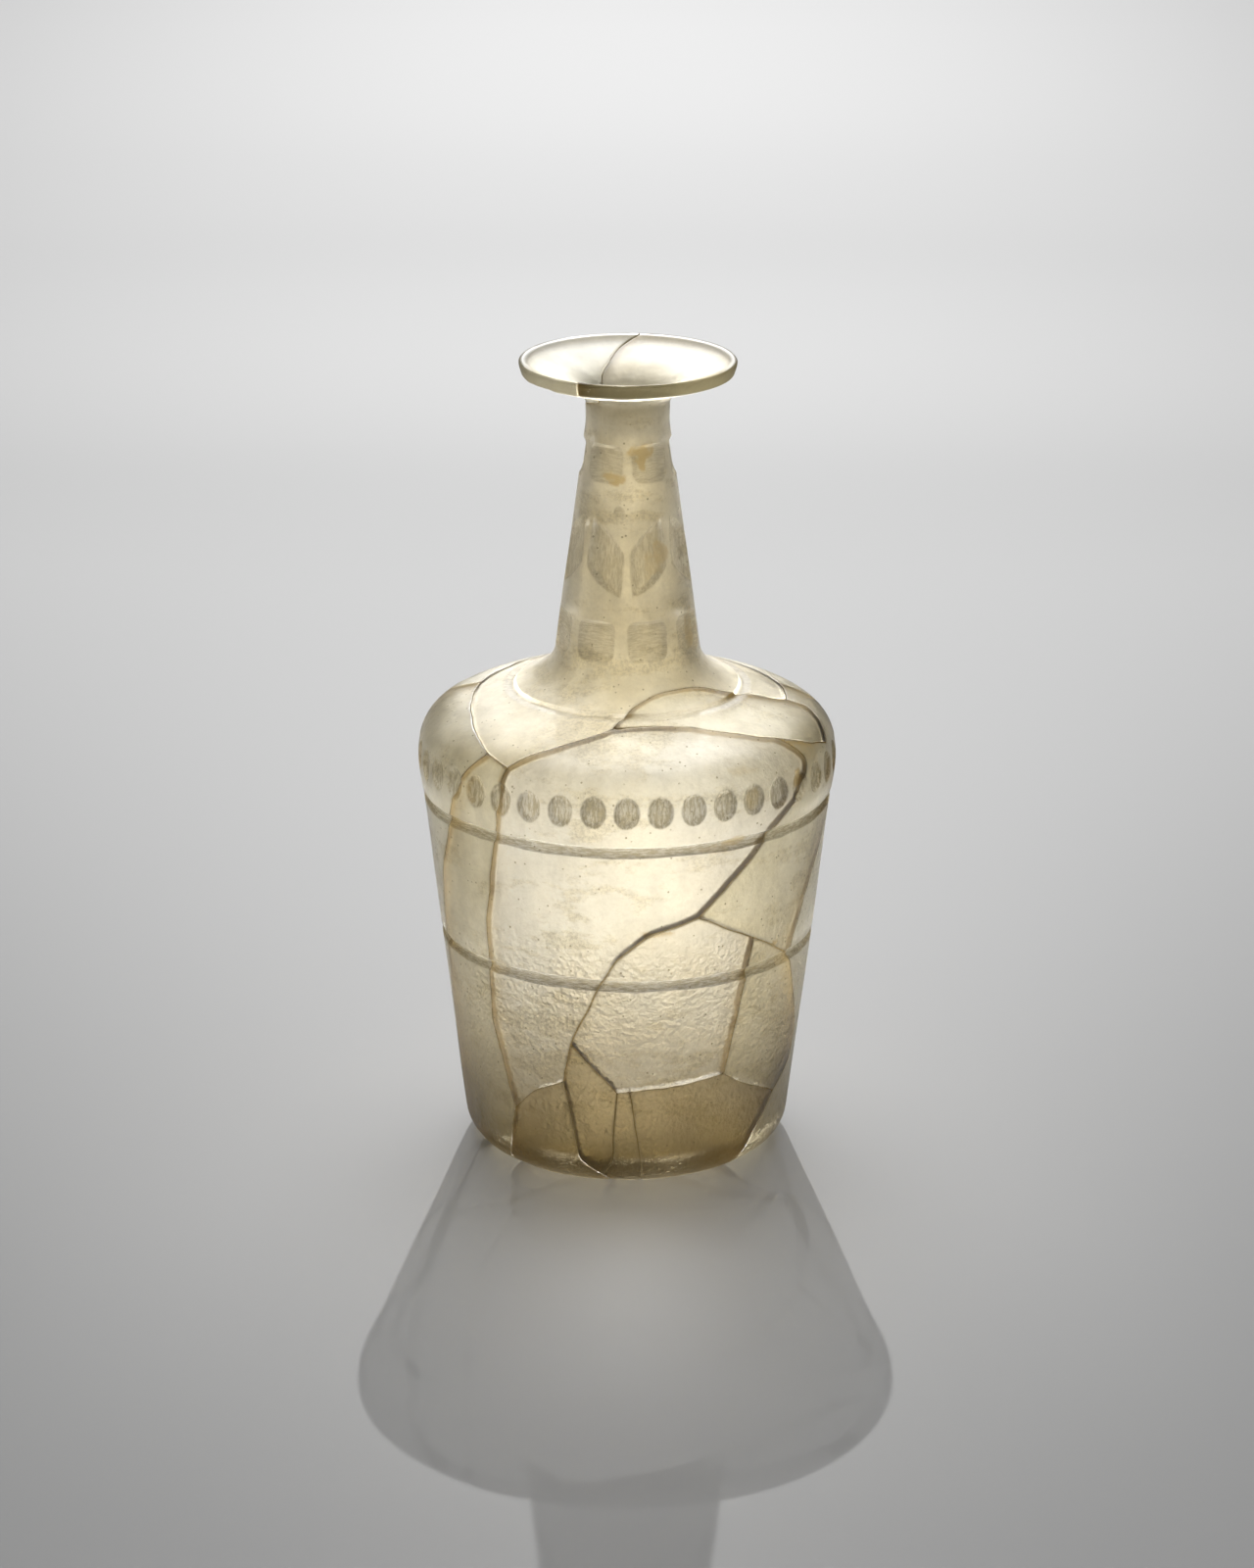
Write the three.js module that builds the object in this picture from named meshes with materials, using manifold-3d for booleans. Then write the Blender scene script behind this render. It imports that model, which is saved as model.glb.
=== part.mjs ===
// A blown and wheel-cut glass bottle that was broken and put together again from its sherds.
// Millimetres, +Z up. The origin is the middle of the ring that it stands on, and the front is -Y.

import * as THREE from 'three';
import { mergeVertices } from 'three/addons/utils/BufferGeometryUtils.js';
import Module from 'manifold-3d';

const wasm = await Module();
wasm.setup();

// Base: a pushed-up middle, a flat ring to stand on and a rounded heel.
const kickHeight = 1.6;
const restInnerRadius = 24;
const restWidth = 7.7;
const heelRadius = 9;
const heelSteepness = 67;
const floorThickness = 5.5;
const floorCornerWidth = 5;
const floorCornerLean = 0.5;

// Body: a straight wall that widens upward, then the shoulder that turns in to the collar.
const wallRise = 76.8;
const wallFlare = 9.25;
const wallThickness = 3.2;
const shoulderRise = 23.9;
const shoulderWidth = 18.15;
const shoulderWallReach = 19.2;
const shoulderBulge = 12;
const shoulderCollarReach = 15;
const shoulderPitch = 20;

// Collar and neck: a tight curve from the shoulder into the tapered neck.
const collarRise = 9.1;
const collarWidth = 11.9;
const collarReach = 6;
const collarNeckReach = 4.5;
const neckRise = 51;
const neckTaper = 6.8;
const neckThickness = 2.8;

// Mouth: a short straight throat under a wide flaring rim with an upright lip.
const throatRise = 5.5;
const rimRise = 6.4;
const rimWidth = 14.2;
const rimThickness = 3.1;
const lipHeight = 3.1;
const lipLean = 1.1;
const rimReach = 2.9;

// Wheel cutting. Widths are what shows on the surface, depths are measured at the middle of a cut.
const bandWidth = 2.8;
const bandDepth = 0.85;
const bandStations = [3.57, 3.995];
const ringCutWidth = 3.3;
const ringCutDepth = 1.3;
const ringCutSlopeWidth = 2.8;
const ovalCount = 40;
const ovalStation = 4.2;
const ovalWidth = 5.9;
const ovalHeight = 8;
const ovalDepth = 1;
const ovalFloorDepth = 0.9;
const ovalFloor = 0.42;
const ovalEdge = 0.52;
const tabletDepth = 0.85;
const tabletCorner = 2.4;
const upperTablets = { count: 6, first: -31, station: 6.87, width: 9.2, height: 8.8 };
const lowerTablets = { count: 8, first: -27, station: 6.1, width: 9.6, height: 9.6 };
const leafCount = 8;
const leafFirst = -24;
const leafStation = 6.465;
const leafDepth = 1;
const leafHeight = 17.6;
const leafWidth = 9.4;

// Corners of a leaf whose point is at the lower right, as shares of half its size: the top, the bend,
// the point and the side. Each says how far the edge to the next one bows out.
const leafCorners = [
  { x: -0.7, y: 1, bow: 0.9 },
  { x: 1, y: 0.1, bow: 0.1 },
  { x: 0.95, y: -1, bow: 1 },
  { x: -1, y: -0.25, bow: 0.4 },
];

// Breaks: the width of a join, how far a cut runs clear of the wall on both sides, the ball that
// finds a sherd, and how close two corners are to be one.
const joinWidth = 0.34;
const clearance = 1;
const probeRadius = 0.3;
const weldDistance = 1e-4;
const turnPerStep = 20;
const stationPerStep = 0.45;

// Facets of the turned surfaces.
const outsideFacets = 40;
const insideFacets = 30;
const outsideSteps = [2, 1, 3, 1, 6, 4, 1, 1, 4];
const insideSteps = [1, 1, 2, 1, 4, 2, 1, 1, 3];

const vec = (x, y) => new THREE.Vector2(x, y);
const degrees = THREE.MathUtils.degToRad;

// The outside is a chain of curves in radius and height, from the middle of the base to the rim.
function outsideCurves() {
  const restOuter = vec(restInnerRadius + restWidth, 0);
  const wallDirection = vec(wallFlare, wallRise).normalize();
  const heelEnd = -Math.atan2(wallDirection.x, wallDirection.y);
  const heelStart = -degrees(heelSteepness);
  const heelCentre = restOuter.clone()
    .sub(vec(Math.cos(heelStart), Math.sin(heelStart)).multiplyScalar(heelRadius));
  const foot = vec(Math.cos(heelEnd), Math.sin(heelEnd)).multiplyScalar(heelRadius).add(heelCentre);
  const wallEnd = foot.clone().add(vec(wallFlare, wallRise));
  const shoulderEnd = wallEnd.clone().add(vec(-shoulderWidth, shoulderRise));
  const bulge = degrees(shoulderBulge);
  const bulgeDirection = vec(Math.sin(bulge), Math.cos(bulge));
  const pitch = degrees(shoulderPitch);
  const shoulderDirection = vec(-Math.cos(pitch), Math.sin(pitch));
  const collarEnd = shoulderEnd.clone().add(vec(-collarWidth, collarRise));
  const neckEnd = collarEnd.clone().add(vec(-neckTaper, neckRise));
  const neckDirection = neckEnd.clone().sub(collarEnd).normalize();
  const throatEnd = neckEnd.clone().add(vec(0, throatRise));
  const rimEnd = throatEnd.clone().add(vec(rimWidth, rimRise));
  const along = (from, direction, distance) => from.clone().addScaledVector(direction, distance);
  const up = vec(0, 1);
  return [
    new THREE.QuadraticBezierCurve(vec(0, kickHeight), vec(restInnerRadius / 2, kickHeight),
      vec(restInnerRadius, 0)),
    new THREE.LineCurve(vec(restInnerRadius, 0), restOuter),
    new THREE.EllipseCurve(heelCentre.x, heelCentre.y, heelRadius, heelRadius, heelStart, heelEnd),
    new THREE.LineCurve(foot, wallEnd),
    new THREE.CubicBezierCurve(wallEnd, along(wallEnd, bulgeDirection, shoulderWallReach),
      along(shoulderEnd, shoulderDirection, -shoulderCollarReach), shoulderEnd),
    new THREE.CubicBezierCurve(shoulderEnd, along(shoulderEnd, shoulderDirection, collarReach),
      along(collarEnd, neckDirection, -collarNeckReach), collarEnd),
    new THREE.LineCurve(collarEnd, neckEnd),
    new THREE.CubicBezierCurve(neckEnd, along(neckEnd, neckDirection, throatRise / 3),
      along(throatEnd, up, -throatRise / 3), throatEnd),
    new THREE.CubicBezierCurve(throatEnd, along(throatEnd, up, rimReach),
      rimEnd.clone().lerp(throatEnd, 1 / 3), rimEnd),
  ];
}

const outside = outsideCurves();
const [WALL, SHOULDER, COLLAR, NECK, THROAT, RIM] = [...outside.keys()].slice(3);

// Wall thickness at the start and end of each curve above the heel.
const thickness = {
  [WALL]: [wallThickness, wallThickness],
  [SHOULDER]: [wallThickness, wallThickness],
  [COLLAR]: [wallThickness, neckThickness],
  [NECK]: [neckThickness, neckThickness],
  [THROAT]: [neckThickness, neckThickness],
  [RIM]: [neckThickness, rimThickness],
};

function outwardNormal(curve, t) {
  const tangent = curve.getTangent(t);
  return vec(tangent.y, -tangent.x);
}

function offsetInside(section, t) {
  const [start, end] = thickness[section];
  const inset = THREE.MathUtils.lerp(start, end, t);
  return outside[section].getPoint(t).addScaledVector(outwardNormal(outside[section], t), -inset);
}

// The inside below the wall: a floor as thick as the base, and a corner that meets the wall.
const cornerTop = offsetInside(WALL, 0);
const floorEdge = cornerTop.x - floorCornerWidth;
const floorMiddle = floorEdge * restInnerRadius / (restInnerRadius + restWidth);
const insideBelowWall = [
  new THREE.QuadraticBezierCurve(vec(0, floorThickness + kickHeight),
    vec(floorMiddle / 2, floorThickness + kickHeight), vec(floorMiddle, floorThickness)),
  new THREE.LineCurve(vec(floorMiddle, floorThickness), vec(floorEdge, floorThickness)),
  new THREE.QuadraticBezierCurve(vec(floorEdge, floorThickness),
    vec(cornerTop.x - floorCornerLean, floorThickness), cornerTop),
];

function insidePoint(section, t) {
  return section < WALL ? insideBelowWall[section].getPoint(t) : offsetInside(section, t);
}

// A place on the bottle is an angle from the front and a station: the number of the curve
// plus the share of it passed. Past the last curve the rim goes on straight, beyond its lip.
const place = (angle, station) => ({ angle, station });

function acrossWall(station) {
  const section = Math.min(Math.floor(station), RIM);
  const t = Math.min(station - section, 1);
  const outer = outside[section].getPoint(t);
  const inner = insidePoint(section, t);
  const beyond = outside[section].getTangent(t).multiplyScalar((station - section - t) * rimWidth);
  return { outer: outer.add(beyond), inner: inner.add(beyond) };
}

function around(point, angle) {
  const a = degrees(angle);
  return new THREE.Vector3(point.x * Math.sin(a), -point.x * Math.cos(a), point.y);
}

function middleOfWall({ angle, station }) {
  const { outer, inner } = acrossWall(station);
  return around(outer.lerp(inner, 0.5), angle);
}

// Turning a geometry into a solid and back.
function toSolid(geometry) {
  const bare = geometry.clone();
  bare.deleteAttribute('normal');
  bare.deleteAttribute('uv');
  const merged = mergeVertices(bare, weldDistance);
  const mesh = new wasm.Mesh({
    numProp: 3,
    vertProperties: new Float32Array(merged.attributes.position.array),
    triVerts: new Uint32Array(merged.index.array),
  });
  return new wasm.Manifold(mesh);
}

function toGeometry(solid) {
  const { vertProperties, triVerts, numProp } = solid.getMesh();
  const positions = new Float32Array(vertProperties.length / numProp * 3);
  for (let i = 0; i < positions.length / 3; i++) {
    positions.set(vertProperties.subarray(i * numProp, i * numProp + 3), i * 3);
  }
  const geometry = new THREE.BufferGeometry();
  geometry.setAttribute('position', new THREE.BufferAttribute(positions, 3));
  geometry.setIndex(new THREE.BufferAttribute(new Uint32Array(triVerts), 1));
  geometry.computeVertexNormals();
  return geometry;
}

// Lathe profiles here run bottom to top along the outside, so the faces point out. Half a facet
// of turn puts a flat facet, and not an edge, at the front.
function turned(profile, facets) {
  const geometry = new THREE.LatheGeometry(profile, facets).rotateX(Math.PI / 2);
  return toSolid(geometry.rotateZ(Math.PI / facets));
}

function sampled(stepsPerCurve, pointAt) {
  return stepsPerCurve.flatMap((steps, section) =>
    Array.from({ length: steps }, (_, i) => pointAt(section, i / steps)));
}

// The blown form: the outside filled solid, less the hollow inside it.
function blownVessel() {
  const rimEnd = outside[RIM].getPoint(1);
  const lipTop = rimEnd.clone().add(vec(lipLean, lipHeight));
  const outer = sampled(outsideSteps, (section, t) => outside[section].getPoint(t));
  const inner = [...sampled(insideSteps, insidePoint), insidePoint(RIM, 1)];
  const brim = inner.at(-1);
  const mouthCentre = vec(0, brim.y);
  const above = brim.clone().add(vec(0, clearance));
  const solid = turned([...outer, rimEnd, lipTop, brim, mouthCentre], outsideFacets);
  const hollow = turned([...inner, above, vec(0, above.y)], insideFacets);
  return solid.subtract(hollow);
}

// A wheel-cut band is a round-bottomed groove that runs right round the wall.
function bandCut(station) {
  const { outer } = acrossWall(station);
  const cutterRadius = (bandWidth * bandWidth / 4 + bandDepth * bandDepth) / (2 * bandDepth);
  const ringRadius = outer.x + cutterRadius - bandDepth;
  const ring = new THREE.TorusGeometry(ringRadius, cutterRadius, 6, outsideFacets);
  return toSolid(ring.rotateZ(Math.PI / outsideFacets).translate(0, 0, outer.y));
}

// The cut round the foot of the collar: a shallow slope outside, a steep step inside.
function collarCut() {
  const start = outside[COLLAR].getPoint(0);
  const direction = outside[COLLAR].getTangent(0);
  const normal = outwardNormal(outside[COLLAR], 0);
  const at = (distance, height) => start.clone().addScaledVector(direction, distance)
    .addScaledVector(normal, height);
  const slopeStart = -ringCutSlopeWidth * clearance / ringCutDepth;
  const profile = [at(slopeStart, clearance), at(ringCutWidth, clearance),
    at(ringCutSlopeWidth, -ringCutDepth)];
  return turned([...profile, profile[0]], outsideFacets);
}

// A cutter is drawn flat, with its depth along -Z, and is set on the surface facing outward.
function setOnSurface(geometry, angle, station) {
  const section = Math.floor(station);
  const t = station - section;
  const place = around(outside[section].getPoint(t), angle);
  const upward = outside[section].getTangent(t);
  const outward = outwardNormal(outside[section], t);
  const basis = new THREE.Matrix4().makeBasis(
    around(vec(1, 0), angle + 90),
    around(upward, angle),
    around(outward, angle),
  );
  return toSolid(geometry.applyMatrix4(basis.setPosition(place)));
}

// An oval is a shallow dish with a steep edge. Its floor and edge are shares of its full size,
// from the middle, and the edge goes on past the surface so that it cuts clean.
function ovalCut(angle) {
  const pastEdge = ovalEdge + (ovalEdge - ovalFloor) * clearance / ovalFloorDepth;
  const dish = [vec(0, -ovalDepth), vec(ovalFloor, -ovalFloorDepth), vec(pastEdge, clearance),
    vec(0, clearance)];
  const cutter = new THREE.LatheGeometry(dish, 10).rotateX(Math.PI / 2);
  return setOnSurface(cutter.scale(ovalWidth, ovalHeight, 1), angle, ovalStation);
}

// A flat facet cut straight in over a drawn outline.
function facetCut(outline, depth, angle, station) {
  const cutter = new THREE.ExtrudeGeometry(outline, {
    depth: depth + clearance,
    bevelEnabled: false,
    curveSegments: 2,
  });
  return setOnSurface(cutter.translate(0, 0, -depth), angle, station);
}

function tabletOutline(width, height) {
  const x = width / 2;
  const y = height / 2;
  const c = tabletCorner;
  const outline = new THREE.Shape();
  outline.moveTo(c - x, -y);
  outline.lineTo(x - c, -y);
  outline.quadraticCurveTo(x, -y, x, c - y);
  outline.lineTo(x, y - c);
  outline.quadraticCurveTo(x, y, x - c, y);
  outline.lineTo(c - x, y);
  outline.quadraticCurveTo(-x, y, -x, y - c);
  outline.lineTo(-x, c - y);
  outline.quadraticCurveTo(-x, -y, c - x, -y);
  return outline;
}

// A leaf leans to the side that its point is on: side is 1 for the lower right, -1 for the lower left.
function leafOutline(side) {
  const corners = leafCorners.map(({ x, y }) => vec(side * x * leafWidth, y * leafHeight).divideScalar(2));
  const outline = new THREE.Shape();
  outline.moveTo(corners[0].x, corners[0].y);
  leafCorners.forEach(({ bow }, i) => {
    const next = corners[(i + 1) % corners.length];
    const edge = next.clone().sub(corners[i]).normalize();
    const outward = vec(-edge.y, edge.x).multiplyScalar(2 * bow * side);
    const control = corners[i].clone().lerp(next, 0.5).add(outward);
    outline.quadraticCurveTo(control.x, control.y, next.x, next.y);
  });
  return outline;
}

function tabletRow({ count, first, station, width, height }) {
  const outline = tabletOutline(width, height);
  return Array.from({ length: count }, (_, i) =>
    facetCut(outline, tabletDepth, first + i * 360 / count, station));
}

function leafRow() {
  return Array.from({ length: leafCount }, (_, i) => {
    const outline = leafOutline(i % 2 ? -1 : 1);
    return facetCut(outline, leafDepth, leafFirst + i * 360 / leafCount, leafStation);
  });
}

function ovalRow() {
  return Array.from({ length: ovalCount }, (_, i) => ovalCut(i * 360 / ovalCount));
}

// Junctions where breaks meet.
const junction = {
  leftEnd: place(-103, 4.85),
  leftUpper: place(-45, 4.53),
  left: place(-36, 4.45),
  collarFront: place(-6, 4.95),
  shoulderFork: place(54, 4.64),
  shoulderTip: place(75, 4.36),
  collarRight: place(86, 4.8),
  collarBack: place(106, 4.8),
  wallBackRight: place(103, 4.5),
  wallRight: place(55, 4.15),
  centre: place(21, 3.775),
  fork: place(41, 3.675),
  right: place(59, 3.575),
  knee: place(-18, 3.37),
  lowerLeft: place(-21, 3.245),
  heelLeft: place(-41, 3.12),
  chipLeft: place(-3, 3.22),
  chipRight: place(1, 3.225),
  lowerRight: place(34, 3.25),
  heelRight: place(61, 3.125),
  heelFront: place(-8, 2.45),
  backLeft: place(-121, 3.65),
  backMiddle: place(-178, 3.6),
  backRight: place(125, 3.62),
  floorLeft: place(-79, 0.78),
  floorFrontLeft: place(-50, 0.72),
  floorFront: place(-5, 0.8),
  floorFrontRight: place(9, 0.78),
  floorRight: place(44, 0.7),
  floorBackRight: place(120, 0.76),
  floorBack: place(177, 0.72),
  floorBackLeft: place(-130, 0.8),
};

// Each break runs between two junctions, past the turning points listed between their names.
const breaks = [
  ['leftEnd', place(-85, 4.83), place(-66, 4.75), place(-51, 4.61), 'leftUpper'],
  ['leftUpper', 'left'],
  ['leftUpper', place(-54, 4.15), place(-60, 3.95), place(-68, 3.81), place(-73, 3.65),
    place(-78, 3.32), place(-80, 2.6), 'floorLeft'],
  ['left', place(-38, 4.05), place(-46, 3.7), place(-48, 3.4), 'heelLeft'],
  ['heelLeft', place(-44, 3.04), place(-49, 2.35), 'floorFrontLeft'],
  ['left', place(-30, 4.63), place(-21, 4.79), 'collarFront'],
  ['collarFront', place(10, 4.98), place(26, 4.94), place(40, 4.82), 'shoulderFork'],
  ['shoulderFork', place(65, 4.46), 'shoulderTip'],
  ['collarFront', place(4, 5.33), place(20, 5.53), place(40, 5.54), place(55, 5.45),
    place(71, 5.12), 'collarRight'],
  ['collarRight', place(88, 4.65), 'shoulderTip'],
  ['shoulderFork', place(60, 4.35), 'wallRight'],
  ['wallRight', place(38, 3.94), 'centre'],
  ['centre', place(7, 3.735), place(-3, 3.655), place(-9, 3.55), 'knee'],
  ['knee', 'lowerLeft'],
  ['lowerLeft', place(-19, 3.14), 'heelFront'],
  ['centre', 'fork'],
  ['fork', 'right'],
  ['fork', place(39, 3.55), 'lowerRight'],
  ['right', place(66, 3.735), place(71, 3.82), place(82, 3.97), 'wallBackRight'],
  ['wallBackRight', 'collarBack'],
  ['collarRight', 'collarBack'],
  ['right', place(70, 3.37), place(75, 3.285), place(73, 3.2), 'heelRight'],
  ['heelRight', place(49, 3), place(46, 2.4), 'floorRight'],
  ['knee', 'chipLeft'],
  ['chipLeft', 'chipRight'],
  ['chipRight', 'lowerRight'],
  ['lowerRight', place(41, 3.205), 'heelRight'],
  ['heelLeft', place(-32, 3.2), 'lowerLeft'],
  ['chipLeft', place(-5, 3), 'heelFront'],
  ['heelFront', place(-6, 2), 'floorFront'],
  ['chipRight', place(5, 3), place(6, 2.2), 'floorFrontRight'],
  ['collarBack', place(130, 4.86), place(158, 4.9), place(185, 4.92), place(210, 4.92),
    place(235, 4.88), 'leftEnd'],
  ['leftEnd', place(-112, 4.4), place(-118, 3.95), 'backLeft'],
  ['backLeft', place(-126, 3.3), place(-132, 2.3), 'floorBackLeft'],
  ['wallBackRight', place(114, 4.2), place(122, 3.9), 'backRight'],
  ['backRight', place(121, 3.35), place(123, 2.3), 'floorBackRight'],
  ['backRight', place(152, 3.7), 'backMiddle'],
  ['backMiddle', place(215, 3.74), 'backLeft'],
  ['backMiddle', place(176, 3.3), place(179, 2.3), 'floorBack'],
  ['floorLeft', 'floorFrontLeft'],
  ['floorFrontLeft', 'floorFront'],
  ['floorFront', 'floorFrontRight'],
  ['floorFrontRight', 'floorRight'],
  ['floorRight', place(80, 0.8), 'floorBackRight'],
  ['floorBackRight', place(150, 0.8), 'floorBack'],
  ['floorBack', place(205, 0.76), 'floorBackLeft'],
  ['floorBackLeft', place(-104, 0.72), 'floorLeft'],
  [place(-27, 9.2), place(-28, 8.6), place(-38, 8.15), place(-95, 7.9), place(-130, 8.1),
    place(-160, 8.4), place(-186, 9.2)],
];

// Going from one place to the next, the angle takes the short way round.
function shortWay(from, to) {
  return from + ((to - from + 540) % 360 + 360) % 360 - 180;
}

// Between two places a break takes as many steps as the wall's turn between them needs,
// and enough to follow the corners between one curve of the outline and the next.
function stepsBetween(from, to) {
  const [a, b] = [from, to].map(({ angle, station }) => {
    const { outer, inner } = acrossWall(station);
    return around(outer.sub(inner), angle);
  });
  const turn = THREE.MathUtils.radToDeg(a.angleTo(b));
  const passed = Math.abs(to.station - from.station);
  return Math.max(1, Math.ceil(turn / turnPerStep), Math.ceil(passed / stationPerStep));
}

function waypoints(run) {
  const places = run.map((entry) => (typeof entry === 'string' ? junction[entry] : entry));
  const path = [places[0]];
  for (const { angle, station } of places.slice(1)) {
    const last = path.at(-1);
    const next = place(shortWay(last.angle, angle), station);
    const steps = stepsBetween(last, next);
    for (let i = 1; i <= steps; i++) {
      path.push(place(
        THREE.MathUtils.lerp(last.angle, next.angle, i / steps),
        THREE.MathUtils.lerp(last.station, next.station, i / steps),
      ));
    }
  }
  return path;
}

// A break is a thin ribbon that passes through the wall from outside to inside.
function throughWall({ angle, station }) {
  const { outer, inner } = acrossWall(station);
  const through = outer.clone().sub(inner).normalize().multiplyScalar(clearance);
  return { outer: around(outer.add(through), angle), inner: around(inner.sub(through), angle) };
}

function ribbonSection(rungs, i) {
  const { outer, inner } = rungs[i];
  const before = rungs[Math.max(i - 1, 0)];
  const after = rungs[Math.min(i + 1, rungs.length - 1)];
  const forward = after.outer.clone().add(after.inner).sub(before.outer).sub(before.inner).normalize();
  const side = forward.clone().cross(outer.clone().sub(inner)).setLength(joinWidth / 2);
  const isEnd = Number(i === rungs.length - 1) - Number(i === 0);
  const reach = forward.multiplyScalar(isEnd * joinWidth / 2);
  return [outer, inner].flatMap((point) => {
    const end = point.clone().add(reach);
    return [end.clone().add(side), end.sub(side)];
  });
}

function ribbon(run) {
  const rungs = waypoints(run).map(throughWall);
  const corners = rungs.flatMap((_, i) => ribbonSection(rungs, i));
  const firstCap = [0, 1, 2, 1, 3, 2];
  const lastCap = [0, 2, 1, 1, 2, 3];
  // Both broad sides are split along the same diagonal, so they stay one width apart.
  const tube = [0, 2, 6, 0, 6, 4, 3, 1, 7, 1, 5, 7, 2, 3, 7, 2, 7, 6, 1, 0, 4, 1, 4, 5];
  const faces = [...firstCap];
  for (let i = 0; i + 4 < corners.length; i += 4) faces.push(...tube.map((corner) => i + corner));
  faces.push(...lastCap.map((corner) => corners.length - 4 + corner));
  const geometry = new THREE.BufferGeometry().setFromPoints(corners);
  geometry.setIndex(faces);
  return toSolid(geometry);
}

// The whole vessel, cut by the wheel and parted along its breaks.
function partedVessel() {
  const cuts = [
    ...bandStations.map(bandCut),
    collarCut(),
    ...ovalRow(),
    ...tabletRow(upperTablets),
    ...tabletRow(lowerTablets),
    ...leafRow(),
    ...breaks.map(ribbon),
  ];
  return blownVessel().subtract(wasm.Manifold.union(cuts)).decompose();
}

// Every sherd is named by a place in the middle of it.
const clearGlass = 0xc9bd97;
const paleGlass = 0xd8cfb0;
const brownGlass = 0xa8966a;
const sherds = {
  neck: { at: place(10, 6.3), colour: clearGlass },
  rim_left: { at: place(-90, 8.6), colour: paleGlass },
  shoulder_front_right: { at: place(45, 5.1), colour: paleGlass },
  wall_front: { at: place(-15, 3.85), colour: paleGlass },
  wall_upper_right: { at: place(60, 3.9), colour: clearGlass },
  wall_left_strip: { at: place(-58, 3.5), colour: clearGlass },
  wall_left: { at: place(-95, 3.7), colour: clearGlass },
  wall_right: { at: place(100, 3.6), colour: clearGlass },
  wall_lower_front: { at: place(15, 3.5), colour: paleGlass },
  wall_lower_right: { at: place(55, 3.35), colour: clearGlass },
  heel_left: { at: place(-35, 3), colour: brownGlass },
  heel_wedge: { at: place(-12, 3.15), colour: brownGlass },
  heel_sliver: { at: place(0, 2.8), colour: brownGlass },
  heel_right: { at: place(30, 3.05), colour: brownGlass },
  wall_back_upper: { at: place(175, 4.1), colour: clearGlass },
  wall_back_left: { at: place(-150, 3.3), colour: clearGlass },
  wall_back_right: { at: place(150, 3.3), colour: clearGlass },
  floor: { at: place(0, 0.1), colour: brownGlass },
};

function sherdMesh(name, { at, colour }, pieces) {
  const probe = toSolid(new THREE.SphereGeometry(probeRadius, 6, 4)).translate(
    ...middleOfWall(at).toArray());
  const piece = pieces.find((candidate) => !candidate.intersect(probe).isEmpty());
  const glass = new THREE.MeshStandardMaterial({ color: colour, roughness: 0.35, metalness: 0 });
  const mesh = new THREE.Mesh(toGeometry(piece), glass);
  mesh.name = name;
  return mesh;
}

function bottle() {
  const pieces = partedVessel();
  const group = new THREE.Group();
  for (const [name, sherd] of Object.entries(sherds)) {
    group.add(sherdMesh(name, sherd, pieces));
  }
  return group;
}

const group = bottle();

export default group;
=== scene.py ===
"""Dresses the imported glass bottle: each sherd rebuilt fine, the joins between them, floor, light and camera.

A place on the vessel is an angle from the front, in degrees, and a station: the number of the outline's
curve plus the share of it passed. A run is the distance along the outside of the section, from the middle
of the base. Sizes are in millimetres until a mesh is written, which is in metres.
"""

import logging
import math
from dataclasses import dataclass, field
from enum import Enum
from typing import ClassVar, Mapping, Optional, Sequence

import bpy
import numpy as np
from mathutils import Euler, Matrix, Vector


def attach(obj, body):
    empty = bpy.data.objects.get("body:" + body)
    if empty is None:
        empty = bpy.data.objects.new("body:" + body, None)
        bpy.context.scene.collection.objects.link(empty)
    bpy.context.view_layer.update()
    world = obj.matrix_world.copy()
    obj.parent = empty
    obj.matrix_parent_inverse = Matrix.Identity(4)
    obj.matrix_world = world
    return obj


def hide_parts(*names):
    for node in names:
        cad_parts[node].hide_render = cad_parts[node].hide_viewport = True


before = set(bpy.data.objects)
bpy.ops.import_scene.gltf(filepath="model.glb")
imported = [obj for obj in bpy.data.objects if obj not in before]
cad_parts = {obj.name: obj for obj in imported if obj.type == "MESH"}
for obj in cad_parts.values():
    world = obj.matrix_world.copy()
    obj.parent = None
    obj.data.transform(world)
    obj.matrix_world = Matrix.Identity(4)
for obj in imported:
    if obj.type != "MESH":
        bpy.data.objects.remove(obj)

logging.basicConfig(level=logging.INFO, format="%(message)s")
log = logging.getLogger("bottle")

Place = tuple[float, float]
Numbers = tuple[float, ...]
Socket = bpy.types.NodeSocket
Sockets = Mapping[str, Socket]

MM = 0.001
SHARP_ANGLE = math.radians(42)
CREST_STATION = 10.0
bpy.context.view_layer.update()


class Finish(Enum):
    """The finishes of the sherds and of what joins them."""

    NECK = "neck_glass"
    CLEAR = "clear_glass"
    PALE = "pale_glass"
    BASE = "base_glass"
    RIM = "rim_glass"
    SHOULDER = "shoulder_glass"
    JOIN = "join"

    @property
    def slot(self) -> str:
        """The material slot of the record that the finish stands for."""
        stands_for = {Finish.RIM: Finish.PALE, Finish.SHOULDER: Finish.PALE, Finish.JOIN: Finish.BASE}
        return stands_for.get(self, self).value


# Helpers.


def bezier(points: Sequence[Sequence[float]], share: np.ndarray) -> np.ndarray:
    """Points of a Bezier curve: each control point weighted by its Bernstein polynomial.

    Args:
        points: The control points, each a radius and a height.
        share: Shares of the curve passed, 0 to 1.

    Returns:
        One row of radius and height for each share.
    """
    last = len(points) - 1
    weights = [math.comb(last, k) * share**k * (1 - share) ** (last - k) for k in range(last + 1)]
    return np.stack(weights, axis=1) @ np.asarray(points, float)


def smooth(value: np.ndarray, low: float, high: float) -> np.ndarray:
    """The smooth step 3t^2 - 2t^3, with t the share of the way from low to high."""
    t = np.clip((value - low) / (high - low), 0.0, 1.0)
    return t * t * (3.0 - 2.0 * t)


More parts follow.
